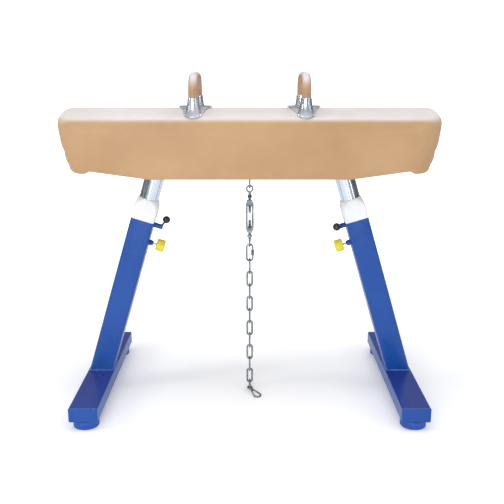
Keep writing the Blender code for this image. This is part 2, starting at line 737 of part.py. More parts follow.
def build_clamp(leg):
    """The height clamp: a boss on the tube, and a screw with a lever and ball."""
    face = LEG_TUBE / 2
    boss = cut(
        across(CLAMP_BOSS_RADIUS, 0, face + GAP, face + CLAMP_BOSS_LENGTH, 20),
        across(CLAMP_SPINDLE_RADIUS + GAP, 0, 0, LEG_TUBE),
    )
    axis = leg @ Matrix.Translation((0, 0, -CLAMP_DROP))
    place_pair("clamp_boss", mesh_from(boss), BLUE, axis)

    hub_start = face + CLAMP_BOSS_LENGTH + GAP
    lever_x = hub_start + CLAMP_HUB_LENGTH / 2
    ball_x = lever_x + LEVER_LENGTH * math.sin(LEVER_SPLAY)
    ball_y = LEVER_LENGTH * math.cos(LEVER_SPLAY)
    lever_way = Vector((math.sin(LEVER_SPLAY), math.cos(LEVER_SPLAY), 0))
    ball_centre = Vector((ball_x, ball_y, 0))
    lever_end = ball_centre - lever_way * (BALL_RADIUS * 0.4)
    screw = joined(
        across(CLAMP_BOSS_RADIUS, 0, hub_start, hub_start + CLAMP_HUB_LENGTH, 20),
        across(CLAMP_SPINDLE_RADIUS, 0, POST_RADIUS + GAP, lever_x),
        rod(LEVER_RADIUS, (lever_x, 0, 0), lever_end, sides_round=12),
    )
    turn = axis @ Matrix.Rotation(LEVER_RAISE, 4, "X")
    place_pair("clamp_screw", mesh_from(screw), BLUE, turn)

    bpy.ops.mesh.primitive_uv_sphere_add(segments=20, ring_count=12, radius=BALL_RADIUS)
    ball = moved(bpy.context.object, Matrix.Translation(ball_centre))
    bore_end = lever_end + lever_way * GAP
    ball = cut(ball, rod(LEVER_RADIUS + GAP, (lever_x, 0, 0), bore_end, sides_round=12))
    place_pair("clamp_ball", mesh_from(ball), BLACK, turn)


def build_plunger(leg):
    """The index plunger: a boss on the tube, and a pull pin with a round knob."""
    face = LEG_TUBE / 2
    axis = leg @ Matrix.Translation((0, 0, -PLUNGER_DROP))
    boss = rod(
        PLUNGER_BOSS_RADIUS, (face + GAP, 0, 0), (face + PLUNGER_BOSS_LENGTH, 0, 0),
        PLUNGER_BOSS_TIP, 20,
    )
    boss = cut(boss, across(PIN_RADIUS + GAP, 0, 0, LEG_TUBE, 12))
    place_pair("plunger_boss", mesh_from(boss), BLUE, axis)

    knob_start = face + KNOB_STANDOFF
    pin_end = knob_start + KNOB_BORE_DEPTH
    pin = across(PIN_RADIUS, 0, POST_RADIUS + GAP, pin_end, 12)
    place_pair("plunger_pin", mesh_from(pin), STEEL, axis)

    chamfer = 0.003
    knob = turned([
        (knob_start, 0), (knob_start, KNOB_RADIUS - chamfer), (knob_start + chamfer, KNOB_RADIUS),
        (knob_start + KNOB_THICKNESS - chamfer, KNOB_RADIUS),
        (knob_start + KNOB_THICKNESS, KNOB_RADIUS - chamfer), (knob_start + KNOB_THICKNESS, 0),
    ], steps=28)
    knob = cut(knob, across(PIN_RADIUS + GAP, 0, 0, pin_end + GAP, 12))
    place_pair("plunger_knob", mesh_from(knob), YELLOW, axis)


# ---------------------------------------------------------------- the tension chain
def touching(first, second):
    """Between the centrelines of two crossed wires that just clear each other."""
    return first + second + GAP


def build_chain():
    """Anchor, turnbuckle, quick link and chain; the spare end lies forward on the floor.

    As many whole links hang as there is room for, an even number so that the last of them
    is broadside on, and the anchor's loop takes up what is left over.
    """
    chain = empty("tension_chain")
    quarter = Matrix.Rotation(math.pi / 2, 4, "Z")
    pitch = LINK_BARS - touching(WIRE, WIRE)
    floor_bar = FLOOR_CLEARANCE + WIRE + LINK_BEND
    ring_to_ring = 2 * (EYE_TO_NUT + NUT_THICKNESS + NUT_STANDOFF) + BUCKLE_LENGTH
    quick_to_anchor = (
        QUICK_BARS - touching(EYE_WIRE, QUICK_WIRE) + LOWER_EYE_BEND + ring_to_ring
        + UPPER_EYE_BEND - touching(ANCHOR_WIRE, EYE_WIRE)
    )
    room = UNDERSIDE - ANCHOR_LOOP_LEAST - quick_to_anchor - floor_bar
    hanging = 2 * math.floor(room / pitch / 2)
    quick_foot = floor_bar + hanging * pitch
    quick_top = quick_foot + QUICK_BARS
    eye_bar = quick_top - touching(EYE_WIRE, QUICK_WIRE)
    lower_eye = eye_bar + LOWER_EYE_BEND
    upper_eye = lower_eye + ring_to_ring
    anchor_bar = quick_foot + quick_to_anchor

    build_anchor(chain, anchor_bar)
    build_turnbuckle(chain, lower_eye, upper_eye, anchor_bar)

    opening = box(
        (4 * QUICK_WIRE, 4 * QUICK_WIRE, SLEEVE_LENGTH * 0.4), (QUICK_BEND, 0, -QUICK_BARS / 2)
    )
    quick = cut(wire_shape(stadium(QUICK_BARS, QUICK_BEND), QUICK_WIRE, cyclic=True), opening)
    quick = moved(quick, Matrix.Translation((0, 0, touching(EYE_WIRE, QUICK_WIRE))))
    place("quick_link", mesh_from(quick), STEEL, chain, Matrix.Translation((0, 0, eye_bar)))
    place("quick_link_sleeve", mesh_from(sleeve_shape()), STEEL, chain,
          Matrix.Translation((QUICK_BEND, 0, quick_top - QUICK_BARS / 2)))

    link = wire_shape(stadium(LINK_BARS, LINK_BEND), WIRE, cyclic=True)
    link = mesh_from(moved(link, Matrix.Translation((0, 0, touching(WIRE, WIRE)))))
    for n in range(hanging):
        turn = Matrix.Identity(4) if n % 2 else quarter
        at = Matrix.Translation((0, 0, quick_foot - n * pitch))
        place(f"chain_link_{n + 1:02d}", link, STEEL, chain, at @ turn)
    lying = Matrix.Rotation(-math.pi / 2, 4, "X") @ quarter
    at = Matrix.Translation((0, 0, floor_bar))
    place(f"chain_link_{hanging + 1:02d}", link, STEEL, chain, at @ lying)
    build_snap_hook(chain, Vector((0, -pitch, floor_bar)))


def build_anchor(chain, bar_height):
    """A plate let into the underside, with a U of thick wire for the turnbuckle's eye."""
    plate_z = UNDERSIDE + ANCHOR_PLATE[2] / 2
    plate = box(ANCHOR_PLATE, (0, 0, plate_z), rounding=0.010)
    bend = ANCHOR_HALF_WIDTH
    foot = arc((0, bar_height + bend), bend, math.pi, 2 * math.pi)
    loop = [(0, y, z) for y, z in [(-bend, plate_z), *foot, (bend, plate_z)]]
    anchor = joined(plate, wire_shape(loop, ANCHOR_WIRE))
    place("chain_anchor", mesh_from(anchor), STEEL, chain)


def eye_bolt(bend, stem_length):
    """A round eye in XZ about the origin, with its screwed stem running down."""
    stem = rod(STEM_RADIUS, (0, 0, -bend), (0, 0, -stem_length), sides_round=12)
    return joined(ring(bend, EYE_WIRE), stem)


def locknut(height):
    nut = rod(NUT_RADIUS, (0, 0, height - NUT_THICKNESS), (0, 0, height), sides_round=6)
    bore = rod(STEM_RADIUS + GAP, (0, 0, height - 1), (0, 0, height + 1), sides_round=12)
    return cut(nut, bore)


def build_turnbuckle(chain, lower_eye, upper_eye, anchor_bar):
    stem_length = EYE_TO_NUT + NUT_THICKNESS + SCREW_DEPTH
    upper = moved(eye_bolt(UPPER_EYE_BEND, stem_length), Matrix.Translation((0, 0, upper_eye)))
    hang = Matrix.Translation((0, 0, anchor_bar))
    place("upper_eye_bolt", mesh_from(moved(upper, hang.inverted())), STEEL, chain, hang)
    at = Matrix.Translation((0, 0, upper_eye))
    place("upper_locknut", mesh_from(locknut(-EYE_TO_NUT)), STEEL, chain, at)

    over = Matrix.Rotation(math.pi, 4, "X") @ Matrix.Rotation(math.pi / 2, 4, "Z")
    at = Matrix.Translation((0, 0, lower_eye)) @ over
    place("lower_eye_bolt", mesh_from(eye_bolt(LOWER_EYE_BEND, stem_length)), STEEL, chain, at)
    place("lower_locknut", mesh_from(locknut(-EYE_TO_NUT)), STEEL, chain, at)

    half, neck, end = BUCKLE_WIDTH / 2, BUCKLE_NECK / 2, BUCKLE_LENGTH / 2
    quarter = [(neck, end, 0.002), (half, end - BUCKLE_SHOULDER, 0.012)]
    right = quarter + [(x, -y, radius) for x, y, radius in reversed(quarter)]
    outline = rounded(right + [(-x, -y, radius) for x, y, radius in right])
    slot_half = end - BUCKLE_SHOULDER - 0.004
    slot = rounded_rectangle(BUCKLE_SLOT / 2, slot_half, BUCKLE_SLOT / 2 * 0.98)
    body = cut(
        slab(outline, BUCKLE_DEPTH),
        slab(slot, 2 * BUCKLE_DEPTH),
        rod(STEM_RADIUS + GAP, (0, -1, 0), (0, 1, 0), sides_round=12),
    )
    at = Matrix.Translation((0, 0, (lower_eye + upper_eye) / 2))
    place("turnbuckle_body", mesh_from(moved(body, XZ_FROM_XY)), STEEL, chain, at)


def sleeve_shape():
    """The six-sided nut that closes the quick link."""
    half = SLEEVE_LENGTH / 2
    nut = rod(SLEEVE_RADIUS, (0, 0, -half), (0, 0, half), sides_round=6)
    return cut(nut, rod(QUICK_WIRE + GAP, (0, 0, -1), (0, 0, 1), sides_round=16))


def build_snap_hook(chain, bar):
    """A swivel eye on the last link, and a pear-shaped hook with a sprung gate, on the floor.

    All are drawn in XZ, with the link's end bar at the origin and the hook below it, then
    laid down and turned, dipping until the hook's foot is on the floor.
    """
    eye_centre = touching(WIRE, SWIVEL_WIRE) - SWIVEL_BEND
    barrel_top = eye_centre - SWIVEL_BEND
    barrel_foot = barrel_top - SWIVEL_BARREL_LENGTH
    collar_top = barrel_foot - GAP
    hook_crown = collar_top - SWIVEL_COLLAR_LENGTH
    pin_top = barrel_foot + SWIVEL_PIN_DEPTH
    dip = math.asin((bar.z - FLOOR_CLEARANCE - HOOK_WIRE) / (HOOK_BARS - hook_crown))
    lying = (
        Matrix.Translation(bar) @ Matrix.Rotation(HOOK_TURN, 4, "Z")
        @ Matrix.Rotation(dip - math.pi / 2, 4, "X")
    )

    eye = cut(
        joined(
            ring(SWIVEL_BEND, SWIVEL_WIRE, (0, 0, eye_centre)),
            rod(SWIVEL_BARREL_RADIUS, (0, 0, barrel_foot), (0, 0, barrel_top)),
        ),
        rod(SWIVEL_PIN_RADIUS + GAP, (0, 0, barrel_foot - 1), (0, 0, pin_top + GAP), sides_round=12),
    )
    place("swivel_eye", mesh_from(eye), DARK_STEEL, chain, lying)

    top_centre = Vector((0, hook_crown - HOOK_TOP_BEND))
    foot_centre = Vector((0, hook_crown + HOOK_FOOT_BEND - HOOK_BARS))
    spread = math.asin((HOOK_FOOT_BEND - HOOK_TOP_BEND) / (top_centre - foot_centre).length)
    left, right = math.pi - spread, spread
    top = arc(top_centre, HOOK_TOP_BEND, left, right, WIRE_STEP)
    foot = arc(foot_centre, HOOK_FOOT_BEND, right, left - 2 * math.pi, WIRE_STEP)
    side_top, side_foot = Vector(top[0]), Vector(foot[-1])
    way = (side_foot - side_top).normalized()
    gate_top = side_top.lerp(side_foot, GATE_START)
    hook = joined(
        wire_shape([(x, 0, z) for x, z in [gate_top, *top, *foot]], HOOK_WIRE),
        rod(SWIVEL_COLLAR_RADIUS, (0, 0, hook_crown), (0, 0, collar_top)),
        rod(SWIVEL_PIN_RADIUS, (0, 0, hook_crown), (0, 0, pin_top), sides_round=12),
    )
    place("snap_hook", mesh_from(hook), DARK_STEEL, chain, lying)

    hinge = gate_top + way * GATE_HINGE_GAP
    reach = side_foot - way * GATE_HINGE_GAP / 2 - hinge
    gate = rod(GATE_RADIUS, (0, 0, 0), (reach.x, 0, reach.y), sides_round=10)
    hinge_at = Matrix.Translation((hinge.x, 0, hinge.y))
    place("snap_gate", mesh_from(gate), STEEL, chain, lying @ hinge_at)


# ---------------------------------------------------------------- assembly
clear_scene()
collection = bpy.data.collections.new("pommel_horse")
bpy.context.scene.collection.children.link(collection)
sides = {
    "right": empty("right_side"),
    "left": empty("left_side", matrix=Matrix.Rotation(math.pi, 4, "Z")),
}
right_leg = leg_matrix()

build_body()
build_pommels()
build_base()
build_leg_tube(right_leg)
build_collar(right_leg)
build_post(right_leg)
build_clamp(right_leg)
build_plunger(right_leg)
build_chain()
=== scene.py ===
"""The finished look of the pommel horse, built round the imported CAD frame."""
import json
import math

import bmesh
import bpy
import numpy as np
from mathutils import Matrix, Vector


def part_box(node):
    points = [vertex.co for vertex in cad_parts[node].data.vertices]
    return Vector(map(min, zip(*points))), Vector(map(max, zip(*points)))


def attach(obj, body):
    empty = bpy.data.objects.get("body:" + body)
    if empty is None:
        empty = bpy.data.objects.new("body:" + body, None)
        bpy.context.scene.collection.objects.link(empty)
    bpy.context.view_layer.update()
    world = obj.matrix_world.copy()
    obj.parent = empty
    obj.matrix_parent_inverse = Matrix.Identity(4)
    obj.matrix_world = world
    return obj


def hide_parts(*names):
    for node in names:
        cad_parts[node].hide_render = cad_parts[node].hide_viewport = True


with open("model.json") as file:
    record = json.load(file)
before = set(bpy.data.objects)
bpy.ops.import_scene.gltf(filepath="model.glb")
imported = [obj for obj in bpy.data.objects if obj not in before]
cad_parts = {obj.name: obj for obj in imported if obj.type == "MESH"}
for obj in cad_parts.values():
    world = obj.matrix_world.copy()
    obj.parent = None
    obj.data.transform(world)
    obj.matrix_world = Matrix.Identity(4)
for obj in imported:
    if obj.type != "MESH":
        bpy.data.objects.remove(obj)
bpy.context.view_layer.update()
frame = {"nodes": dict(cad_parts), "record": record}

# ------------------------------------------------------------------ floor, lights, camera
# A pale seamless floor with a large soft box overhead, as in a catalogue studio, and a weak
# fill from the front. Two dark cards that the camera can't see give the chrome its stripes.
CAMERA_PLACE = (0.0, -2.975, 1.431)
CAMERA_PITCH = math.radians(14.96)
CAMERA_LENS = 50.0
CAMERA_SHIFT = 0.0046

camera = bpy.data.objects.new("camera", bpy.data.cameras.new("camera"))
bpy.context.scene.collection.objects.link(camera)
camera.location = CAMERA_PLACE
camera.rotation_euler = (math.pi / 2 - CAMERA_PITCH, 0, 0)
camera.data.lens = CAMERA_LENS
camera.data.sensor_width = 36.0
camera.data.shift_x = CAMERA_SHIFT
camera.data.clip_start = 0.02
bpy.context.scene.camera = camera


def area_light(name, place, aim, size, power):
    """A square soft box at a place, turned to face a point."""
    light = bpy.data.lights.new(name, "AREA")
    light.shape = "RECTANGLE"
    light.size, light.size_y = size
    light.energy = power
    made = bpy.data.objects.new(name, light)
    bpy.context.scene.collection.objects.link(made)
    made.location = place
    way = np.array(place, float) - np.array(aim, float)
    way /= np.linalg.norm(way)
    pitch = math.acos(way[2])
    turn = math.atan2(way[0], -way[1])
    made.rotation_euler = (pitch, 0, turn)
    return made


area_light("overhead_box", (0, -0.1, 3.4), (0, 0, 1.2), (3.4, 1.3), 42)
area_light("front_fill", (-1.2, -4.4, 1.9), (0, 0, 0.75), (2.2, 1.6), 66)
area_light("right_fill", (3.4, -2.6, 1.5), (0, 0, 0.7), (1.0, 1.6), 15)
area_light("left_edge", (-3.4, -0.9, 1.7), (-0.7, 0, 1.1), (0.6, 1.2), 26)
area_light("right_edge", (3.4, -0.9, 1.7), (0.7, 0, 1.1), (0.6, 1.2), 10)
area_light("rear_fill", (0.8, 4.2, 2.0), (0, 0, 0.8), (2.4, 1.4), 34).visible_glossy = False
area_light("left_post_strip", (-0.95, -3.5, 0.45), (-0.42, 0, 0.97), (0.22, 0.9), 2.5)
area_light("right_post_strip", (0.95, -3.5, 0.45), (0.42, 0, 0.97), (0.22, 0.9), 2.5)


def wired(tree, kind, inputs=(), **settings):
    """A node with its settings made and its inputs linked or set, by name or number."""
    node = tree.nodes.new(kind)
    for key, value in settings.items():
        setattr(node, key, value)
    for key, value in dict(inputs).items():
        if isinstance(value, bpy.types.NodeSocket):
            tree.links.new(value, node.inputs[key])
        else:
            node.inputs[key].default_value = value
    return node


def camera_rays(tree):
    """1 for what the camera sees itself, 0 for what lights or mirrors."""
    return tree.nodes.new("ShaderNodeLightPath").outputs["Is Camera Ray"]


ROOM_DIM, ROOM_CEILING = (0.10, 0.105, 0.12, 1), (0.62, 0.64, 0.68, 1)
BLANK_WHITE = (1.2, 1.2, 1.2, 1)


def studio_world():
    """Pure white where the camera looks past the floor, and a dim room with a bright
    ceiling for everything else, so that polished metal has something dark to reflect."""
    made = bpy.data.worlds.new("studio")
    made.use_nodes = True
    tree = made.node_tree
    way = tree.nodes.new("ShaderNodeTexCoord").outputs["Generated"]
    height = wired(tree, "ShaderNodeSeparateXYZ", {0: way}).outputs["Z"]
    room = wired(tree, "ShaderNodeValToRGB", {"Fac": height})
    for stop, position, colour in zip(room.color_ramp.elements, (0.02, 0.75), (ROOM_DIM, ROOM_CEILING)):
        stop.position, stop.color = position, colour
    seen = {"Factor": camera_rays(tree), "A": room.outputs["Color"], "B": BLANK_WHITE}
    shown = wired(tree, "ShaderNodeMix", seen, data_type="RGBA")
    tree.links.new(shown.outputs["Result"], tree.nodes["Background"].inputs["Color"])
    return made


bpy.context.scene.world = studio_world()
bpy.context.scene.view_settings.view_transform = "Standard"


def add_object(name, mesh, *finishes):
    """An object at the origin from a mesh and its materials."""
    made = bpy.data.objects.new(name, mesh)
    bpy.context.scene.collection.objects.link(made)
    for finish in finishes:
        mesh.materials.append(finish)
    return made


def flat_quad(name, corners):
    """One four-sided face."""
    mesh = bpy.data.meshes.new(name)
    mesh.from_pydata(corners, [], [(0, 1, 2, 3)])
    return mesh


def new_material(name, colour, roughness, metallic=0.0, **sockets):
    """A Principled material; a socket name's underscores stand for spaces."""
    made = bpy.data.materials.new(name)
    made.use_nodes = True
    shader = made.node_tree.nodes["Principled BSDF"]
    shader.inputs["Base Color"].default_value = (*colour, 1)
    shader.inputs["Roughness"].default_value = roughness
    shader.inputs["Metallic"].default_value = metallic
    for socket, value in sockets.items():
        shader.inputs[socket.replace("_", " ")].default_value = value
    return made


FLOOR_REACH = 30.0
FLOOR_SHADE, FLOOR_MIRRORED = (0.93, 0.93, 0.93), (0.66, 0.68, 0.71)
GLOW_START, GLOW_END = 0.8, 4.5      # distances from the middle of the floor
GLOW_LOW = (0.16, 0.16, 0.16, 1)
CARD_X, CARD_Y, CARD_HALF, CARD_TOP = 2.4, -0.6, 1.2, 1.9


def floor_finish():
    """Pale floor that glows towards its far edge, for the camera only, so that it meets the
    white room without a horizon: a smooth step of the distance from the middle. Polished
    pieces mirror it somewhat darker than it is."""
    made = new_material("studio_floor", FLOOR_SHADE, 0.7)
    tree = made.node_tree
    shader = tree.nodes["Principled BSDF"]
    where = tree.nodes.new("ShaderNodeTexCoord").outputs["Object"]
    distance = wired(tree, "ShaderNodeVectorMath", {0: where}, operation="LENGTH").outputs["Value"]
    span = {"Value": distance, "From Min": GLOW_START, "From Max": GLOW_END}
    glow = wired(tree, "ShaderNodeMapRange", span, interpolation_type="SMOOTHSTEP").outputs["Result"]
    seen = camera_rays(tree)
    share = wired(tree, "ShaderNodeMath", {0: glow, 1: seen}, operation="MULTIPLY").outputs[0]
    light = {"Factor": share, "A": GLOW_LOW, "B": BLANK_WHITE}
    lit = wired(tree, "ShaderNodeMix", light, data_type="RGBA").outputs["Result"]
    tree.links.new(lit, shader.inputs["Emission Color"])
    shader.inputs["Emission Strength"].default_value = 1.0
    mirrored = {
        "Factor": seen.node.outputs["Is Glossy Ray"], "A": (*FLOOR_SHADE, 1), "B": (*FLOOR_MIRRORED, 1),
    }
    shade = wired(tree, "ShaderNodeMix", mirrored, data_type="RGBA").outputs["Result"]
    tree.links.new(shade, shader.inputs["Base Color"])
    return made


floor_corners = [(x * FLOOR_REACH, y * FLOOR_REACH, 0) for x, y in ((-1, -1), (1, -1), (1, 1), (-1, 1))]
floor = add_object("studio_floor", flat_quad("studio_floor", floor_corners), floor_finish())

dark_card = new_material("dark_card", (0.06, 0.07, 0.085), 0.9)
for x in (-CARD_X, CARD_X):
    near, far = CARD_Y - CARD_HALF, CARD_Y + CARD_HALF
    corners = [(x, near, 0.0), (x, far, 0.0), (x, far, CARD_TOP), (x, near, CARD_TOP)]
    card = add_object("dark_card", flat_quad("dark_card", corners), dark_card)
    card.visible_camera = card.visible_shadow = card.visible_diffuse = False

# ------------------------------------------------------------------ leather cover
# One hide stretched over the foam, its edges turned in 40 mm under the body and tacked to
# the board. Natural tan cowhide with a fine grain; its paler top is a painted highlight.
def corners_of(node):
    """The low and high corners of a CAD node's box."""
    return [np.array(corner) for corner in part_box(node)]


(_, _, UNDERSIDE), (HALF_LENGTH, HALF_WIDTH, BODY_TOP) = corners_of("leather_cover")
CROWN_RADIUS = 0.440
SIDE_EDGE = 0.030            # rounding of the long top edges
END_EDGE = 0.036             # rounding of the top edges at the ends
CORNER_FULLNESS = 0.014      # extra rounding where both meet
PLAN_CORNER = 0.062
END_BULGE = 0.008            # the padding rounds the end wall out by this much
BULGE_FOOT = 0.020           # the bulge ends this far above the underside
END_LEAN = math.radians(14)
LEAN_START = BODY_TOP - 0.050
LEAN_EASE = 0.030            # the lean comes in gently over this height
FLAT_BELLY, BELLY_END, LIP_START = 0.410, 0.652, 0.662
BELLY_RISE, LIP_DEPTH = 0.033, 0.010
HEM_WIDTH = 0.040
HEM_DROP = 0.0022            # the turned-in leather lies this far below the board
SHOULDER_SHARE = 0.65        # the crown runs on over this much of the long edges' rounding
SIDE_STEPS, END_STEPS, CORNER_STEPS = 121, 25, 11
CROWN_STEPS, EDGE_STEPS, WALL_STEPS, FOOT_STEPS, HEM_STEPS = 15, 13, 25, 7, 6
BOTTOM_EDGE_SIDE, BOTTOM_EDGE_END = 0.007, 0.016


def crown_height(y):
    """Height of the crowned top: a circular arc across the body."""
    return BODY_TOP - CROWN_RADIUS + np.sqrt(CROWN_RADIUS ** 2 - y ** 2)


def underside_height(x):
    """Level in the middle, then rising straight to the ends, then a short step down."""
    knots = [FLAT_BELLY, BELLY_END, LIP_START]
    heights = [0.0, BELLY_RISE, BELLY_RISE - LIP_DEPTH]
    return UNDERSIDE - HEM_DROP + np.interp(np.abs(x), knots, heights)


def end_reach(z):
    """Half length at a height: level at the top, then leaning in with an eased start, plus
    half a sine wave of bulge down the wall."""
    fall = np.maximum(LEAN_START - z, 0.0)
    eased = np.where(fall < LEAN_EASE, fall ** 2 / (2 * LEAN_EASE), fall - LEAN_EASE / 2)
    lean = math.tan(END_LEAN) * eased
    bulge = END_BULGE * np.sin(math.pi * np.clip(fall / (LEAN_START - UNDERSIDE - BULGE_FOOT), 0, 1))
    return HALF_LENGTH - lean + bulge


def plan_stations():
    """Stations round the body: a share along each straight, or an angle round each corner.

    Each station is (x share, y share, cos, sin): the corner centres times the shares, plus
    the corner radius times the cos and sin.
    """
    side = np.linspace(-1, 1, SIDE_STEPS)[1:-1]
    end = np.linspace(-1, 1, END_STEPS)[1:-1]
    turn = np.linspace(0, math.pi / 2, CORNER_STEPS)

    def corner(sx, sy, start):
        """A quarter turn of stations round one corner."""
        angle = turn + start
        return np.stack([np.full_like(angle, sx), np.full_like(angle, sy), np.cos(angle), np.sin(angle)])

    def straight(xs, ys, c, s):
        """Stations along one side or end, all facing the same way."""
        xs, ys = np.broadcast_arrays(xs, ys)
        return np.stack([xs, ys, np.full(xs.shape, c), np.full(xs.shape, s)])

    parts = [
        corner(1, 1, 0), straight(-side, 1.0, 0.0, 1.0), corner(-1, 1, math.pi / 2),
        straight(-1.0, -end, -1.0, 0.0), corner(-1, -1, math.pi), straight(side, -1.0, 0.0, -1.0),
        corner(1, -1, 1.5 * math.pi), straight(1.0, end, 1.0, 0.0),
    ]
    return np.concatenate(parts, axis=1)


def cover_grid():
    """The cover as rings of stations from the middle of the top down to the turned-in hem.

    Going down a station: a crowned top, an arc over the edge, a wall, an arc under the
    bottom edge, then the hem. Edge sizes blend from side to end by the plan normal squared.
    """
    sx, sy, c, s = plan_stations()
    endness = c ** 2
    edge = SIDE_EDGE + (END_EDGE - SIDE_EDGE) * endness + CORNER_FULLNESS * 4 * endness * (1 - endness)
    slope = math.asin((HALF_WIDTH - SIDE_EDGE * SHOULDER_SHARE) / CROWN_RADIUS) * (1 - endness)
    bottom_edge = BOTTOM_EDGE_SIDE + (BOTTOM_EDGE_END - BOTTOM_EDGE_SIDE) * endness

    def ring(inset, z):
        """All stations, set in by some amount, at a height."""
        reach = end_reach(z) - PLAN_CORNER
        x = sx * reach + (PLAN_CORNER - inset) * c
        y = sy * (HALF_WIDTH - PLAN_CORNER) + (PLAN_CORNER - inset) * s
        return np.stack([x, y, z], axis=-1)

    start = ring(edge * (1 - np.sin(slope)), np.full_like(c, BODY_TOP))
    spine_x = np.clip(start[:, 0], -HALF_LENGTH + HALF_WIDTH, HALF_LENGTH - HALF_WIDTH)
    spine = np.stack([spine_x, np.zeros_like(spine_x), start[:, 2]], axis=-1)
    rings = []
    for share in np.linspace(0, 1, CROWN_STEPS):
        flat = spine + (start - spine) * share
        flat[:, 2] = crown_height(flat[:, 1])
        rings.append(flat)
    edge_height = rings[-1][:, 2]
    for share in np.linspace(0, 1, EDGE_STEPS)[1:]:
        angle = slope + (math.pi / 2 - slope) * share
        z = edge_height - edge * (np.cos(slope) - np.cos(angle))
        rings.append(ring(edge * (1 - np.sin(angle)), z))
    wall_top = rings[-1][:, 2]
    foot = underside_height(rings[-1][:, 0])
    for share in np.linspace(0, 1, WALL_STEPS)[1:]:
        z = wall_top + (foot + bottom_edge - wall_top) * share
        foot = underside_height(ring(0.0, z)[:, 0])
        rings.append(ring(0.0, wall_top + (foot + bottom_edge - wall_top) * share))
    for share in np.linspace(0, 1, FOOT_STEPS)[1:]:
        angle = share * math.pi / 2
        inset = bottom_edge * (1 - np.cos(angle))
        rings.append(ring(inset, foot + bottom_edge * (1 - np.sin(angle))))
    for share in np.linspace(0, 1, HEM_STEPS)[1:]:
        inset = bottom_edge + (HEM_WIDTH - bottom_edge) * share
        flat = ring(inset, foot)
        flat[:, 2] = underside_height(flat[:, 0])
        rings.append(flat)
    return np.stack(rings)


def grid_faces(rows, columns, wrap_rows=False, wrap_columns=True):
    """Quads between neighbouring points of a grid, joined round where it wraps."""
    row = np.arange(rows if wrap_rows else rows - 1)[:, None]
    column = np.arange(columns if wrap_columns else columns - 1)[None, :]
    below, right = (row + 1) % rows, (column + 1) % columns
    quads = [
        row * columns + column, below * columns + column, below * columns + right, row * columns + right,
    ]
    return np.stack(np.broadcast_arrays(*quads), axis=-1).reshape(-1, 4)


def outward_mesh(name, points, faces, smooth_angle=math.radians(35), weld=1e-6):
    """A mesh with its doubles merged, its faces pointing out, and smooth where it is round."""
    mesh = bpy.data.meshes.new(name)
    mesh.from_pydata(points.reshape(-1, 3).tolist(), [], faces)
    bm = bmesh.new()
    bm.from_mesh(mesh)
    bmesh.ops.remove_doubles(bm, verts=bm.verts, dist=weld)
    bmesh.ops.recalc_face_normals(bm, faces=bm.faces)
    bm.to_mesh(mesh)
    bm.free()
    mesh.shade_smooth()
    mesh.set_sharp_from_angle(angle=smooth_angle)
    return mesh


def effect_group(name, inputs, outputs, build):
    """A shader node group: inputs and outputs by name, filled in by a build function."""
    group = bpy.data.node_groups.new(name, "ShaderNodeTree")
    for label, kind, value in inputs:
        socket = group.interface.new_socket(label, in_out="INPUT", socket_type=kind)
        if value is not None:
            socket.default_value = value
    for label, kind in outputs:
        group.interface.new_socket(label, in_out="OUTPUT", socket_type=kind)
    build(group, group.nodes.new("NodeGroupInput"), group.nodes.new("NodeGroupOutput"))
    return group


def build_mottle(group, given, result):
    """Soft patches spread over the surface, from 0 to 1: noise with its contrast raised."""
    at = {"Vector": given.outputs["Vector"], "Scale": given.outputs["Scale"]}
    large = wired(group, "ShaderNodeTexNoise", {**at, "Detail": 5.0})
    span = {"Value": large.outputs["Fac"], "From Min": 0.34, "From Max": 0.66}
    patch = wired(group, "ShaderNodeMapRange", span)
    group.links.new(patch.outputs["Result"], result.inputs["Mask"])


def product(group, first, second):
    """Two values multiplied."""
    return wired(group, "ShaderNodeMath", {0: first, 1: second}, operation="MULTIPLY").outputs[0]


def build_speckle(group, given, result):
    """Fine irregular roughness: distances to cell centres times noise, as a height."""
    at = {"Vector": given.outputs["Vector"], "Scale": given.outputs["Scale"]}
    cells = wired(group, "ShaderNodeTexVoronoi", at)
    noise = wired(group, "ShaderNodeTexNoise", {**at, "Detail": 4.0})
    height = product(group, cells.outputs["Distance"], noise.outputs["Fac"])
    group.links.new(height, result.inputs["Height"])


def build_top_painted_light(group, given, result):
    """Painted light on what faces up: a mask of the faces that point up, broken up by soft patches. It
    carries a painted highlight on the leather and grips and painted shade on the blue tops.
    """
    geometry = group.nodes.new("ShaderNodeNewGeometry")
    upward = wired(group, "ShaderNodeSeparateXYZ", {0: geometry.outputs["Normal"]}).outputs["Z"]
    span = {"Value": upward, "From Min": 0.12, "From Max": 0.85}
    facing = wired(group, "ShaderNodeMapRange", span, interpolation_type="SMOOTHSTEP")
    at = {"Vector": given.outputs["Vector"], "Scale": 7.0, "Detail": 6.0}
    noise = wired(group, "ShaderNodeTexNoise", at).outputs["Fac"]
    span = {"Value": noise, "From Min": 0.2, "From Max": 0.7, "To Min": 0.75}
    broken = wired(group, "ShaderNodeMapRange", span)
    mask = product(group, facing.outputs["Result"], broken.outputs["Result"])
    group.links.new(product(group, mask, given.outputs["Amount"]), result.inputs["Mask"])


def one_effect(name, setting, start, output, build):
    """An effect with a place and one setting going in, and one value coming out."""
    inputs = [("Vector", "NodeSocketVector", None), (setting, "NodeSocketFloat", start)]
    return effect_group(name, inputs, [(output, "NodeSocketFloat")], build)


mottle = one_effect("mottle", "Scale", 5.0, "Mask", build_mottle)
speckle = one_effect("speckle", "Scale", 500.0, "Height", build_speckle)
top_painted_light = one_effect("top_painted_light", "Amount", 1.0, "Mask", build_top_painted_light)


def placed_group(tree, group, **inputs):
    """A shared effect placed in a material, with its own values."""
    return wired(tree, "ShaderNodeGroup", inputs, node_tree=group)


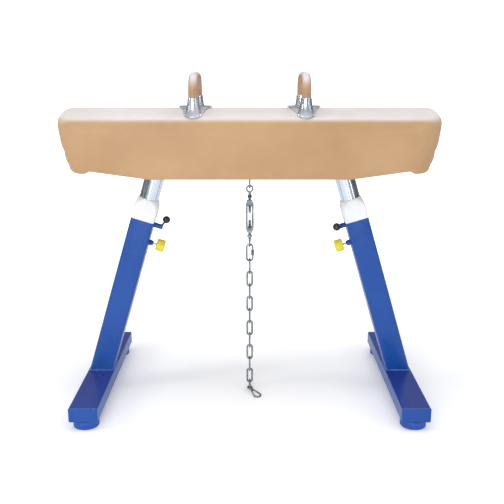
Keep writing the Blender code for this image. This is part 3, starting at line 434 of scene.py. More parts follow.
def colour_mix(tree, mask, first, second):
    """One colour turning into another by a mask; each is a colour or an earlier mix."""
    pair = [
        colour if isinstance(colour, bpy.types.NodeSocket) else (*colour, 1) for colour in (first, second)
    ]
    inputs = {"Factor": mask, "A": pair[0], "B": pair[1]}
    return wired(tree, "ShaderNodeMix", inputs, data_type="RGBA").outputs["Result"]


def surface_finish(name, shade, other_shade, patch_scale, rough, grain_scale, grain_depth,
                   painted_top_colour=None, painted_top_amount=0.0, metallic=0.0, **sockets):
    """A material with patches of two shades, uneven gloss, a grain bump and, when a painted top colour is
    given, painted light on what faces up: lighter for a painted highlight, darker for painted shade.
    """
    made = new_material(name, shade, rough[0], metallic, **sockets)
    tree = made.node_tree
    shader = tree.nodes["Principled BSDF"]
    where = tree.nodes.new("ShaderNodeTexCoord").outputs["Object"]
    patches = placed_group(tree, mottle, Vector=where, Scale=patch_scale).outputs["Mask"]
    colour = colour_mix(tree, patches, shade, other_shade)
    # painted light: a colour mixed in on what faces up, lighter for a painted highlight, darker for painted
    # shade
    if painted_top_colour:
        lying = placed_group(tree, top_painted_light, Vector=where, Amount=painted_top_amount).outputs["Mask"]
        colour = colour_mix(tree, lying, colour, painted_top_colour)
    tree.links.new(colour, shader.inputs["Base Color"])
    gloss = wired(tree, "ShaderNodeMapRange", {"Value": patches, "To Min": rough[0], "To Max": rough[1]})
    tree.links.new(gloss.outputs["Result"], shader.inputs["Roughness"])
    grain = placed_group(tree, speckle, Vector=where, Scale=grain_scale).outputs["Height"]
    bump = wired(tree, "ShaderNodeBump", {"Height": grain, "Strength": 0.6, "Distance": grain_depth})
    tree.links.new(bump.outputs["Normal"], shader.inputs["Normal"])
    return made


# The pale colour mixed in on top is a painted highlight where the overhead light falls.
leather = surface_finish(
    "cover_leather", shade=(0.480, 0.282, 0.132), other_shade=(0.548, 0.334, 0.166), patch_scale=4.0,
    rough=(0.46, 0.58), grain_scale=520.0, grain_depth=0.0006,
    painted_top_colour=(0.67, 0.645, 0.64), painted_top_amount=0.92, Sheen_Weight=0.25, Sheen_Roughness=0.4,
)

CLOTH_STEPS = 20
CLOTH_CAP = 0.004            # most that the stretched faces may swell
CLOTH_PRESSURE = 4.0
CLOTH_FADE = 0.060           # the swelling fades in over this height below the shoulders
SHOULDER_Y = 0.120
HELD_HEIGHT = 0.004          # the hem is held up to this far above the underside
HIDE_THICKNESS = 0.002


def swell(cover, pinned):
    """Cloth simulation under inner pressure, the hem held; no point moves past the cap, and
    the crown, which the padding keeps taut, stays as it is."""
    flat = np.empty(len(cover.data.vertices) * 3)
    cover.data.vertices.foreach_get("co", flat)
    rest = flat.reshape(-1, 3)
    held = cover.vertex_groups.new(name="held")
    held.add(np.flatnonzero(pinned(rest)).tolist(), 1.0, "REPLACE")
    cloth = cover.modifiers.new("cloth", "CLOTH")
    cloth.settings.quality = 5
    cloth.settings.mass = 0.4
    cloth.settings.tension_stiffness = cloth.settings.compression_stiffness = 40
    cloth.settings.use_pressure = True
    cloth.settings.uniform_pressure_force = CLOTH_PRESSURE
    cloth.settings.effector_weights.gravity = 0.0
    cloth.settings.vertex_group_mass = held.name
    cloth.point_cache.frame_start, cloth.point_cache.frame_end = 1, CLOTH_STEPS
    scene = bpy.context.scene
    for step in range(1, CLOTH_STEPS + 1):
        scene.frame_set(step)
    swollen = cover.evaluated_get(bpy.context.evaluated_depsgraph_get()).to_mesh()
    after = np.empty_like(flat)
    swollen.vertices.foreach_get("co", after)
    cover.modifiers.remove(cloth)
    cover.vertex_groups.remove(held)
    scene.frame_set(1)
    move = after.reshape(-1, 3) - rest
    size = np.linalg.norm(move, axis=1, keepdims=True)
    move *= np.minimum(1.0, CLOTH_CAP / np.maximum(size, 1e-9))
    share = np.clip((crown_height(SHOULDER_Y) - rest[:, 2:3]) / CLOTH_FADE, 0.0, 1.0)
    cover.data.vertices.foreach_set("co", (rest + move * share).ravel())
    cover.data.update()


grid = cover_grid()
cover = add_object(
    "leather_skin",
    outward_mesh("leather_skin", grid, grid_faces(*grid.shape[:2]).tolist(), math.radians(60), 1e-5),
    leather,
)
swell(cover, lambda at: at[:, 2] < underside_height(at[:, 0]) + HELD_HEIGHT)
wall = cover.modifiers.new("hide", "SOLIDIFY")
wall.thickness = HIDE_THICKNESS
wall.offset = -1.0
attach(cover, "horse")
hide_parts("leather_cover", "foam_padding")

# Domed tacks hold the hem to the board all the way along both long edges.
TACK_RADIUS, TACK_HEIGHT, TACK_PITCH = 0.0045, 0.0022, 0.045
TACK_SINK = 0.0001           # a tack's rim is pressed this far into the leather


def turned(profile, sides_round=48):
    """Rings of (height, radius) pairs swept round Z, as a grid of points."""
    height, radius = np.array(profile, float).T
    angle = np.linspace(0, 2 * math.pi, sides_round, endpoint=False)
    x = radius[:, None] * np.cos(angle)
    y = radius[:, None] * np.sin(angle)
    return np.stack([x, y, np.broadcast_to(height[:, None], x.shape)], axis=-1)


def in_frame(points, origin, x_axis, y_axis, z_axis):
    """Points drawn in a local frame, put where its origin and axes are."""
    return np.asarray(origin) + points @ np.stack([x_axis, y_axis, z_axis])


def rings_mesh(name, grids, wrap_rows):
    """One mesh from grids of rings: each is joined from its last ring to its first, as a
    tube or a closed wire, or open, and then its two end rings are capped."""
    points, faces, count = [], [], 0
    for grid, wrapped in zip(grids, np.broadcast_to(wrap_rows, len(grids))):
        rows, columns = grid.shape[:2]
        last = count + (rows - 1) * columns
        faces += (grid_faces(rows, columns, wrapped) + count).tolist()
        if not wrapped:
            faces += [list(range(start, start + columns)) for start in (count, last)]
        points.append(grid.reshape(-1, 3))
        count += rows * columns
    return outward_mesh(name, np.concatenate(points), faces)


def solid(name, *grids, finish, wrap_rows=False):
    """One object of one material from grids of rings."""
    return add_object(name, rings_mesh(name, grids, wrap_rows), finish)


tack_steel = surface_finish(
    "tack_steel", (0.50, 0.48, 0.44), (0.62, 0.60, 0.56), 30.0, (0.25, 0.4), 900.0, 0.0001, metallic=1.0
)
quarter = np.linspace(0, math.pi / 2, 4)
dome = np.column_stack([-TACK_HEIGHT * np.cos(quarter), TACK_RADIUS * np.sin(quarter) + 1e-5])
tack = turned(dome, 10)
tack_x = np.arange(-BELLY_END + TACK_PITCH, BELLY_END, TACK_PITCH)
tack_y = HALF_WIDTH - HEM_WIDTH * 0.7
tacks = [
    tack + (x, y, underside_height(x) - TACK_SINK) for x in tack_x for y in (-tack_y, tack_y)
]
tack_row = solid("hem_tacks", *tacks, finish=tack_steel)
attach(tack_row, "horse")

# ------------------------------------------------------------------ board and core
# The core is glued up from beech planks and hidden in the padding. The board under it is
# varnished plywood, screwed on, and shows from below between the turned-in leather edges.
nodes = frame["nodes"]


def build_planks(group, given, result):
    """Wood figure: rings stretched along X, bent by noise."""
    at = {"Vector": given.outputs["Vector"], "Scale": (0.6, 9.0, 9.0)}
    stretched = wired(group, "ShaderNodeMapping", at).outputs["Vector"]
    rings = {"Vector": stretched, "Scale": 3.0, "Distortion": 6.0, "Detail": 4.0, "Detail Scale": 1.5}
    wave = wired(group, "ShaderNodeTexWave", rings, bands_direction="Y")
    group.links.new(wave.outputs["Fac"], result.inputs["Mask"])


planks = effect_group(
    "planks", [("Vector", "NodeSocketVector", None)], [("Mask", "NodeSocketFloat")], build_planks
)
wood = new_material("laminated_wood", (0.5, 0.32, 0.16), 0.45, Coat_Weight=0.2)
wood_tree = wood.node_tree
wood_where = wood_tree.nodes.new("ShaderNodeTexCoord").outputs["Object"]
figure = placed_group(wood_tree, planks, Vector=wood_where).outputs["Mask"]
wood_shader = wood_tree.nodes["Principled BSDF"]
wood_shade = colour_mix(wood_tree, figure, (0.42, 0.25, 0.115), (0.60, 0.40, 0.21))
wood_tree.links.new(wood_shade, wood_shader.inputs["Base Color"])
wood_bump = wired(wood_tree, "ShaderNodeBump", {"Height": figure, "Strength": 0.3, "Distance": 0.0004})
wood_tree.links.new(wood_bump.outputs["Normal"], wood_shader.inputs["Normal"])


def repaint(node, finish):
    """A CAD node that keeps its shape takes a finish on its own material slots."""
    shown = nodes[node]
    if not shown.material_slots:
        shown.data.materials.append(finish)
    for holder in shown.material_slots:
        holder.material = finish


repaint("wood_core", wood)
repaint("bottom_board", wood)

# ------------------------------------------------------------------ pommels
# Each is a cast aluminium saddle with two flared sockets, polished, and a bent grip of
# wood-coloured plastic pressed into them. A clamp bar inside the body pulls it down.
SIDES = ("left", "right")
X, Y, Z = np.eye(3)
GRIP_RADIUS = 0.019
GRIP_BEND = 0.062
SOCKET_TOP, SOCKET_NECK, SOCKET_FOOT = 0.0216, 0.0255, 0.0395
SOCKET_SINK = 0.006          # a socket's foot runs this far into the saddle and the crown
SADDLE_THICKNESS = 0.009
SADDLE_TIP = 0.0375          # half width near the front and rear ends
SADDLE_INSET = 0.014         # the saddle ends this far in from the body's sides
WING_REACH, WING_LIFT = 0.0715, 0.0022
WING_END, WING_SWEEP = 0.80, 1.25    # the wings end at this share of the length; their curve
NOSE_START, NOSE_BLUNT = 0.86, 0.18

cast = surface_finish(
    "cast_aluminium", (0.78, 0.82, 0.88), (0.88, 0.90, 0.94), 22.0, (0.18, 0.32), 700.0, 0.00012,
    metallic=1.0,
)
# The pale colour mixed in on top of the grips is a painted highlight, as on the leather.
grip_plastic = surface_finish(
    "grip_plastic", (0.40, 0.225, 0.12), (0.52, 0.315, 0.185), 26.0, (0.38, 0.52), 420.0, 0.0002,
    painted_top_colour=(0.66, 0.62, 0.635), painted_top_amount=0.9, Coat_Weight=0.15,
)


def fitted(piece, body, slot, *stands_for):
    """The piece rides on a body and replaces its CAD nodes, if any. The slot argument is not used."""
    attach(piece, body)
    if stands_for:
        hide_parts(*stands_for)


def arc_points(centre, radius, start, end, count):
    """Points on an arc in a plane, ends included."""
    angle = np.linspace(start, end, count)
    return np.stack([centre[0] + radius * np.cos(angle), centre[1] + radius * np.sin(angle)], axis=-1)


def wire(path, radius, across, closed=False, sides_round=24):
    """Rings of round wire along a path that lies in a plane; across is that plane's normal."""
    if closed:
        tangent = np.roll(path, -1, axis=0) - np.roll(path, 1, axis=0)
    else:
        tangent = np.gradient(path, axis=0)
    tangent /= np.linalg.norm(tangent, axis=1, keepdims=True)
    out = np.cross(tangent, across)
    out /= np.linalg.norm(out, axis=1, keepdims=True)
    angle = np.linspace(0, 2 * math.pi, sides_round, endpoint=False)[None, :, None]
    radius = np.broadcast_to(radius, len(path))[:, None, None]
    return path[:, None] + radius * (np.cos(angle) * out[:, None] + np.sin(angle) * np.asarray(across))


def round_end(path, radius, steps=4):
    """Radii that round off the first and last few rings of an open wire."""
    radii = np.full(len(path), radius)
    ease = np.sqrt(1 - (1 - np.linspace(0.15, 1, steps)) ** 2)
    radii[:steps] *= ease
    radii[-steps:] *= ease[::-1]
    return radii


def saddle_half_width(share, widest):
    """Half width along the saddle: pointed wings in the middle, drawn in to narrow ends."""
    along = np.abs(share)
    wings = SADDLE_TIP + (widest - SADDLE_TIP) * (1 - np.clip(along / WING_END, 0, 1)) ** WING_SWEEP
    past = np.clip((along - NOSE_START) / (1 - NOSE_START), 0, 1)
    return wings * (NOSE_BLUNT + (1 - NOSE_BLUNT) * np.sqrt(1 - past ** 2))


def wrapped_height(y):
    """Height of the crown and its rounded corners, for what lies on the leather."""
    corner_y = HALF_WIDTH - SIDE_EDGE
    corner_z = BODY_TOP - CROWN_RADIUS + math.sqrt((CROWN_RADIUS - SIDE_EDGE) ** 2 - corner_y ** 2)
    join = corner_y * CROWN_RADIUS / (CROWN_RADIUS - SIDE_EDGE)
    past = np.clip(np.abs(y) - corner_y, 0, SIDE_EDGE * 0.999)
    rounded = corner_z + np.sqrt(SIDE_EDGE ** 2 - past ** 2)
    return np.where(np.abs(y) < join, crown_height(np.clip(y, -join, join)), rounded)


def saddle_rings(centre_x, low, high):
    """The saddle plate: flat ovals (powers of a cosine and a sine) laid over the crown along
    Y, thinner towards the edges, the wings turned up by the fourth power of their reach."""
    share = np.sin(np.linspace(-1, 1, 81) * math.pi / 2)
    y = share * min(-low[1], high[1], HALF_WIDTH - SADDLE_INSET)
    half = saddle_half_width(share, (high[0] - low[0]) / 2)
    lobe = np.linspace(0, 2 * math.pi, 33)[:-1]
    across = np.sign(np.cos(lobe)) * np.abs(np.cos(lobe)) ** 0.30
    up = 0.5 + 0.5 * np.sign(np.sin(lobe)) * np.abs(np.sin(lobe)) ** 0.55
    x = centre_x + half[:, None] * across
    lift = WING_LIFT * (np.abs(across) * half[:, None] / WING_REACH) ** 4
    thickness = SADDLE_THICKNESS * up * (0.75 + 0.25 * (1 - across ** 2))
    z = wrapped_height(y)[:, None] + 0.0004 + thickness + lift
    return np.stack([x, np.broadcast_to(y[:, None], x.shape), z], axis=-1)


for side in SIDES:
    base_low, base_high = corners_of(f"{side}_pommel_base")
    grip_low, grip_high = corners_of(f"{side}_pommel_grip")
    middle = (base_low[0] + base_high[0]) / 2
    socket_top = grip_low[2]
    leg_y = grip_high[1] - GRIP_RADIUS
    crest = grip_high[2] - GRIP_RADIUS
    bend_y, bend_z = leg_y - GRIP_BEND, crest - GRIP_BEND
    upright = np.linspace(socket_top - 0.004, bend_z, 8)[:-1]
    rear = np.concatenate([
        np.stack([np.full_like(upright, leg_y), upright], axis=-1),
        arc_points((bend_y, bend_z), GRIP_BEND, 0, math.pi / 2, 20),
    ])
    level = np.linspace(bend_y, -bend_y, 12)[1:-1]
    bar = np.stack([level, np.full_like(level, crest)], axis=-1)
    front = (rear * (-1, 1))[::-1]
    line = np.concatenate([rear, bar, front])
    path = np.column_stack([np.full(len(line), middle), line])
    grip = solid(f"{side}_grip", wire(path, GRIP_RADIUS, X, sides_round=40), finish=grip_plastic)
    fitted(grip, f"{side}_pommel", "grip_plastic", f"{side}_pommel_grip")

    # a socket: a straight taper to its neck, then a flare to its foot by the power of 1.8
    t = np.linspace(0, 1, 20)
    taper = (SOCKET_NECK - SOCKET_TOP) * np.clip(t * 2, 0, 1)
    flare = SOCKET_TOP + taper + (SOCKET_FOOT - SOCKET_NECK) * np.clip((t - 0.35) / 0.65, 0, 1) ** 1.8
    sockets = []
    for y in (-leg_y, leg_y):
        foot = wrapped_height(np.array(y)) - SOCKET_SINK
        heights = socket_top - 0.0004 - (socket_top - foot) * t
        lip = heights[0] + np.array([0, 0.0003, 0])
        mouth = zip(lip, SOCKET_TOP * np.array([0.86, 0.94, 0.985]))
        sockets.append(turned([*mouth, *zip(heights - 0.0008, flare)]) + (middle, y, 0))
    base = solid(f"{side}_saddle", saddle_rings(middle, base_low, base_high), *sockets, finish=cast)
    fitted(base, f"{side}_pommel", "cast_aluminium", f"{side}_pommel_base")

# ------------------------------------------------------------------ posts
# Round steel tube, hard chromed and polished, drilled with index holes on the inner side
# and welded to a flange that is bolted up into the core.
joints = {joint["name"]: joint for joint in frame["record"]["behaviour"]["joints"]}


def finished_copy(node, name, finish, bevel):
    """A CAD node's solid with its triangles merged into faces and its edges rounded."""
    mesh = nodes[node].data.copy()
    mesh.materials.clear()
    bm = bmesh.new()
    bm.from_mesh(mesh)
    bmesh.ops.remove_doubles(bm, verts=bm.verts, dist=1e-5)
    bmesh.ops.dissolve_limit(bm, angle_limit=math.radians(0.5), verts=bm.verts, edges=bm.edges)
    bm.to_mesh(mesh)
    bm.free()
    mesh.shade_smooth()
    mesh.set_sharp_from_angle(angle=math.radians(32))
    made = add_object(name, mesh, finish)
    if bevel:
        edge = made.modifiers.new("edges", "BEVEL")
        edge.width = bevel
        edge.segments = 3
        edge.limit_method = "ANGLE"
        edge.angle_limit = math.radians(32)
        edge.harden_normals = False
    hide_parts(node)
    return made


post_chrome = surface_finish(
    "post_chrome", (0.74, 0.80, 0.86), (0.84, 0.89, 0.94), 9.0, (0.10, 0.22), 900.0, 0.00006, metallic=1.0
)
zinc = surface_finish(
    "zinc_steel", (0.36, 0.39, 0.43), (0.56, 0.59, 0.63), 45.0, (0.20, 0.38), 800.0, 0.00015, metallic=1.0
)
POST_RADIUS, POST_WALL, POST_INSERTION = 0.042, 0.004, 0.400
FLANGE_HALF_LENGTH, FLANGE_HALF_WIDTH, FLANGE_THICKNESS = 0.055, 0.075, 0.008
BOLT_INSET, BOLT_HEAD, BOLT_HEIGHT = 0.016, 0.0085, 0.0045
INDEX_PITCH, INDEX_HOLES, INDEX_RADIUS = 0.050, 5, 0.00625
CUT_START, CUT_END = 0.030, 0.050    # from the post's axis
CLAMP_DROP, CLAMP_REACH = 0.013, 0.060
PLUNGER_DROP = 0.095
EDGE_EASE = 0.0015


def leg_frame(side):
    """(tube top centre, inward, sideways, up the leg), from the clamp's and the height's joints."""
    up = np.array(joints["height_left"]["axis"], float)
    if side == "right":
        up = up * (-1, 1, 1)
    clamp = joints[f"{side}_clamp_turn"]
    inward = np.array(clamp["axis"], float)
    sideways = np.cross(up, inward)
    top = np.array(clamp["pos_m"], float) - inward * CLAMP_REACH + up * CLAMP_DROP
    return top, inward, sideways, up


def rounded_square(half_x, half_y, radius, steps=8):
    """A rectangle with rounded corners; with a radius of half its width it is a circle."""
    turn = np.linspace(0, math.pi / 2, steps)
    corners = []
    for i, (sx, sy) in enumerate(((1, 1), (-1, 1), (-1, -1), (1, -1))):
        angle = turn + i * math.pi / 2
        corners.append(np.stack([
            sx * (half_x - radius) + radius * np.cos(angle), sy * (half_y - radius) + radius * np.sin(angle),
        ], axis=-1))
    return np.concatenate(corners)


def drilled(tube, holes):
    """The tube with its holes cut by a Boolean, applied; the cutters are removed."""
    cutter = add_object("cutter", holes, post_chrome)
    cut = tube.modifiers.new("holes", "BOOLEAN")
    cut.object = cutter
    cut.solver = "EXACT"
    graph = bpy.context.evaluated_depsgraph_get()
    tube_mesh = bpy.data.meshes.new_from_object(tube.evaluated_get(graph))
    tube.modifiers.remove(cut)
    tube.data = tube_mesh
    bpy.data.objects.remove(cutter)
    tube_mesh.shade_smooth()
    tube_mesh.set_sharp_from_angle(angle=math.radians(32))


for side in SIDES:
    top, inward, sideways, up = leg_frame(side)
    flange_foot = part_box(f"{side}_post")[1][2] - FLANGE_THICKNESS
    post_length = (flange_foot - top[2]) / up[2]
    inside = POST_RADIUS - POST_WALL
    profile = [
        (-POST_INSERTION, POST_RADIUS - EDGE_EASE), (-POST_INSERTION + EDGE_EASE, POST_RADIUS),
        (post_length, POST_RADIUS), (post_length, inside), (-POST_INSERTION, inside),
    ]
    tube_grid = in_frame(turned(profile, 96), top, inward, sideways, up)
    # the top is cut level, where it is welded to the flange
    tube_grid[2:4] += ((flange_foot - tube_grid[2:4, :, 2]) / up[2])[..., None] * up
    post = solid(f"{side}_chrome_post", tube_grid, finish=post_chrome, wrap_rows=True)
    drops = PLUNGER_DROP + (np.arange(INDEX_HOLES) - 0.5) * INDEX_PITCH
    drill = turned([(CUT_START, INDEX_RADIUS), (CUT_END, INDEX_RADIUS)], 28)
    holes = [in_frame(drill, top - up * drop, sideways, up, inward) for drop in drops]
    drilled(post, rings_mesh("holes", holes, False))
    fitted(post, "horse", "post_chrome", f"{side}_post")
    flange_x = (top + up * post_length)[0]
    outline = rounded_square(FLANGE_HALF_LENGTH, FLANGE_HALF_WIDTH, 0.010) + (flange_x, 0)
    levels = (flange_foot + 0.0001, flange_foot + FLANGE_THICKNESS - 0.0005)
    plate = np.stack([np.column_stack([outline, np.full(len(outline), z)]) for z in levels])
    bolt_x, bolt_y = FLANGE_HALF_LENGTH - BOLT_INSET, FLANGE_HALF_WIDTH - BOLT_INSET
    head = turned([
        (-BOLT_HEIGHT, BOLT_HEAD - 0.0012), (-BOLT_HEIGHT + 0.001, BOLT_HEAD), (0.0005, BOLT_HEAD),
    ], 6)
    bolts = [head + (flange_x + i * bolt_x, j * bolt_y, flange_foot) for i in (-1, 1) for j in (-1, 1)]
    flange = solid(f"{side}_flange", plate, *bolts, finish=zinc)
    fitted(flange, "horse", "post_chrome")
    repaint(f"{side}_pommel_clamp_bar", zinc)

# ------------------------------------------------------------------ stands
# Square steel tube welded to a rectangular base bar, closed at both ends by welded plates,
# all powder coated in gloss blue. The weld beads are painted over with the rest.
TUBE, TUBE_WALL, TUBE_CORNER = 0.100, 0.004, 0.008
BAR_CORNER, BAR_INNER_CORNER = 0.005, 0.0015
MOUTH_EASE = 0.0008          # the tube's top edge is eased by this much
PLATE_EASE = 0.0015
SEAT_GAP = 0.0003
WELD_STEP = 0.0016           # spacing of the rings along a bead
LEG_BEAD, LEG_RIPPLE = 0.0032, 0.006
PLATE_BEAD, PLATE_RIPPLE = 0.0014, 0.005
RIPPLE_SHARE = 0.16

# Faces that point up get a darker indigo: painted shade on the tops of the tubes and bars.
blue_paint = surface_finish(
    "blue_paint", (0.008, 0.068, 0.325), (0.011, 0.080, 0.365), 6.0, (0.24, 0.34), 260.0, 0.0002,
    painted_top_colour=(0.016, 0.028, 0.210), painted_top_amount=0.85, Coat_Weight=0.15, Coat_Roughness=0.1,
    Specular_IOR_Level=0.32,
)
# The beads carry the same paint as the rest; their lighter blue is a painted highlight for the glints along
# the welds.
weld_paint_highlight = surface_finish(
    "weld_paint_highlight", (0.045, 0.130, 0.470), (0.090, 0.190, 0.540), 60.0, (0.10, 0.20), 260.0, 0.0002,
    Coat_Weight=0.6, Coat_Roughness=0.05,
)


def bead(points, radius, ripple, across_hint):
    """A weld bead along a closed line: wire whose thickness ripples as a sine of its length."""
    step = np.linalg.norm(np.roll(points, -1, axis=0) - points, axis=1)
    run = np.cumsum(step)
    radii = radius * (1 + RIPPLE_SHARE * np.sin(2 * math.pi * run / ripple))
    return wire(points, radii, across_hint, closed=True, sides_round=10)


def resampled(points, spacing):
    """A closed line's points, spread evenly."""
    loop = np.vstack([points, points[:1]])
    run = np.concatenate([[0], np.cumsum(np.linalg.norm(np.diff(loop, axis=0), axis=1))])
    where = np.linspace(0, run[-1], int(run[-1] / spacing), endpoint=False)
    return np.column_stack([np.interp(where, run, loop[:, k]) for k in range(loop.shape[1])])


for side in SIDES:
    stand = f"{side}_stand"
    top, inward, sideways, up = leg_frame(side)
    bar_low, bar_high = corners_of(f"{side}_base_bar")

    def square(inset, radius):
        """The tube's outline, set in by some amount."""
        return rounded_square(TUBE / 2 - inset, TUBE / 2 - inset, radius)

    def tube_ring(outline, height):
        """An outline at a height up the leg, or, with none, where the leg meets the bar."""
        flat = top + outline[:, :1] * inward + outline[:, 1:] * sideways
        to_bar = (bar_high[2] + SEAT_GAP - flat[:, 2:]) / up[2]
        return flat + (to_bar if height is None else height) * up

    outer, inner = square(0, TUBE_CORNER), square(TUBE_WALL, TUBE_CORNER - TUBE_WALL)
    eased = square(MOUTH_EASE, TUBE_CORNER - MOUTH_EASE)
    tube_rings = np.stack([
        tube_ring(outer, None), tube_ring(outer, -MOUTH_EASE), tube_ring(eased, 0.0),
        tube_ring(inner, 0.0), tube_ring(inner, None),
    ])
    tube = solid(f"{side}_tube", tube_rings, finish=blue_paint, wrap_rows=True)
    fitted(tube, stand, "blue_paint", f"{side}_leg_tube")

    foot_line = resampled(tube_ring(square(-0.001, TUBE_CORNER), None), WELD_STEP)
    foot_bead = bead(foot_line, LEG_BEAD, LEG_RIPPLE, Z)
    weld = solid(f"{side}_leg_weld", foot_bead, finish=weld_paint_highlight, wrap_rows=True)
    fitted(weld, stand, "blue_paint")

    bar_middle = (bar_low + bar_high) / 2
    bar_half = (bar_high - bar_low) / 2

    def section(inset, radius):
        """The bar's outline, set in by some amount."""
        return rounded_square(bar_half[0] - inset, bar_half[2] - inset, radius)

    def bar_ring(outline, y):
        """An outline of the bar at a place along Y."""
        return np.column_stack([
            bar_middle[0] + outline[:, 0], np.full(len(outline), y), bar_middle[2] + outline[:, 1],
        ])

    full, hollow = section(0, BAR_CORNER), section(TUBE_WALL, BAR_INNER_CORNER)
    bar_rings = np.stack([
        bar_ring(full, bar_low[1]), bar_ring(full, bar_high[1]),
        bar_ring(hollow, bar_high[1]), bar_ring(hollow, bar_low[1]),
    ])
    bar_piece = solid(f"{side}_bar", bar_rings, finish=blue_paint, wrap_rows=True)
    fitted(bar_piece, stand, "blue_paint", f"{side}_base_bar")

    for end, sign in (("front", -1), ("rear", 1)):
        plate_low, plate_high = corners_of(f"{side}_{end}_end_plate")
        near, far = (plate_high[1], plate_low[1]) if sign < 0 else (plate_low[1], plate_high[1])
        plate_rings = np.stack([
            bar_ring(full, near), bar_ring(full, far - sign * PLATE_EASE),
            bar_ring(section(0.0005, BAR_CORNER), far - sign * 0.0004),
            bar_ring(section(PLATE_EASE, BAR_CORNER - PLATE_EASE), far),
        ])
        plate = solid(f"{side}_{end}_plate", plate_rings, finish=blue_paint)
        fitted(plate, stand, "blue_paint", f"{side}_{end}_end_plate")
        seam = resampled(bar_ring(section(0.0004, BAR_CORNER), near), WELD_STEP)
        seam_rings = bead(seam, PLATE_BEAD, PLATE_RIPPLE, Y)
        seam_bead = solid(f"{side}_{end}_plate_weld", seam_rings, finish=weld_paint_highlight, wrap_rows=True)
        fitted(seam_bead, stand, "blue_paint")

# ------------------------------------------------------------------ feet
# Turned rubber pucks in the same blue, each on a steel stud that screws into the bar. A
# groove round the side and a fine tread of rings underneath grip the floor.
TREAD_DEPTH, TREAD_RINGS = 0.0012, 13
GROOVE_DEPTH = 0.0012
STUD_RADIUS = 0.006

foot_rubber = surface_finish(
    "foot_rubber", (0.014, 0.075, 0.36), (0.022, 0.10, 0.44), 14.0, (0.36, 0.55), 500.0, 0.0003
)
for side in SIDES:
    for end in ("front", "rear"):
        node = f"{side}_{end}_foot"
        foot_low, foot_high = corners_of(node)
        centre = (foot_low + foot_high) / 2
        r = (foot_high[0] - foot_low[0]) / 2
        h = corners_of(f"{side}_base_bar")[0][2] - SEAT_GAP
        tread = [(TREAD_DEPTH * (k % 2), r * (0.12 + 0.8 * k / TREAD_RINGS)) for k in range(TREAD_RINGS)]
        rim = [(0.0, r - 0.0035), (0.0006, r - 0.0016), (0.002, r)]
        groove = [
            (h * 0.38, r), (h * 0.41, r - GROOVE_DEPTH), (h * 0.47, r - GROOVE_DEPTH), (h * 0.50, r),
        ]
        shoulder = [(h - 0.007, r), (h - 0.004, r - 0.0008), (h - 0.0015, r - 0.0028), (h, r - 0.0065)]
        stud = [(h, STUD_RADIUS + 0.0002), (foot_high[2], STUD_RADIUS - 0.0002)]
        outline = [(TREAD_DEPTH, 0.002), *tread, *rim, *groove, *shoulder, *stud]
        puck = turned(outline, 64) + (centre[0], centre[1], 0)
        foot_piece = solid(f"{side}_{end}_puck", puck, finish=foot_rubber)
        fitted(foot_piece, f"{side}_stand", "foot_rubber", node)

# ------------------------------------------------------------------ guide collars
# A moulded white nylon plug in the top of each tube. Its shoulder starts square, flush
# with the tube, and is drawn in to a rounded top that the chrome post slides through.
COLLAR_HALF, COLLAR_TOP_HALF = 0.051, 0.0455
COLLAR_HEIGHT, COLLAR_SHOULDER = 0.095, 0.050
COLLAR_BORE, COLLAR_PLUG = 0.0423, 0.0457
COLLAR_DEPTH = 0.040
COLLAR_CORNER_STEPS = 14

white_nylon = surface_finish(
    "white_nylon", (0.83, 0.84, 0.87), (0.90, 0.91, 0.93), 12.0, (0.32, 0.46), 420.0, 0.00012,
    Subsurface_Weight=0.08,
)
shoulder_rise = np.linspace(0, 1, 18)
drawn_in = shoulder_rise ** 2.1
# each ring of the collar is a height, a half width and a corner radius
foot_rings = [
    (0.0004, COLLAR_HALF - 0.0012, 0.008), (0.0010, COLLAR_HALF - 0.0003, 0.009),
    (0.0022, COLLAR_HALF, 0.009),
]
shoulder_rings = np.column_stack([
    COLLAR_SHOULDER + (COLLAR_HEIGHT - 0.004 - COLLAR_SHOULDER) * shoulder_rise,
    COLLAR_HALF + (COLLAR_TOP_HALF - COLLAR_HALF) * drawn_in,
    0.010 + 0.026 * drawn_in,
])
mouth_rings = [
    (COLLAR_HEIGHT - 0.0012, COLLAR_TOP_HALF - 0.001, 0.037),
    (COLLAR_HEIGHT, COLLAR_TOP_HALF - 0.0022, 0.039),
    (COLLAR_HEIGHT - 0.0006, COLLAR_BORE, COLLAR_BORE), (-COLLAR_DEPTH, COLLAR_BORE, COLLAR_BORE),
]
plug_rings = [(-COLLAR_DEPTH, COLLAR_PLUG, 0.004), (0.0, COLLAR_PLUG, 0.004)]
collar_grid = np.stack([
    np.column_stack([
        rounded_square(half, half, radius, COLLAR_CORNER_STEPS), np.full(4 * COLLAR_CORNER_STEPS, height),
    ])
    for height, half, radius in (*foot_rings, *shoulder_rings, *mouth_rings, *plug_rings)
])
for side in SIDES:
    top, inward, sideways, up = leg_frame(side)
    placed = in_frame(collar_grid, top, inward, sideways, up)
    collar = solid(f"{side}_collar", placed, finish=white_nylon, wrap_rows=True)
    fitted(collar, f"{side}_stand", "white_collar", f"{side}_guide_collar")

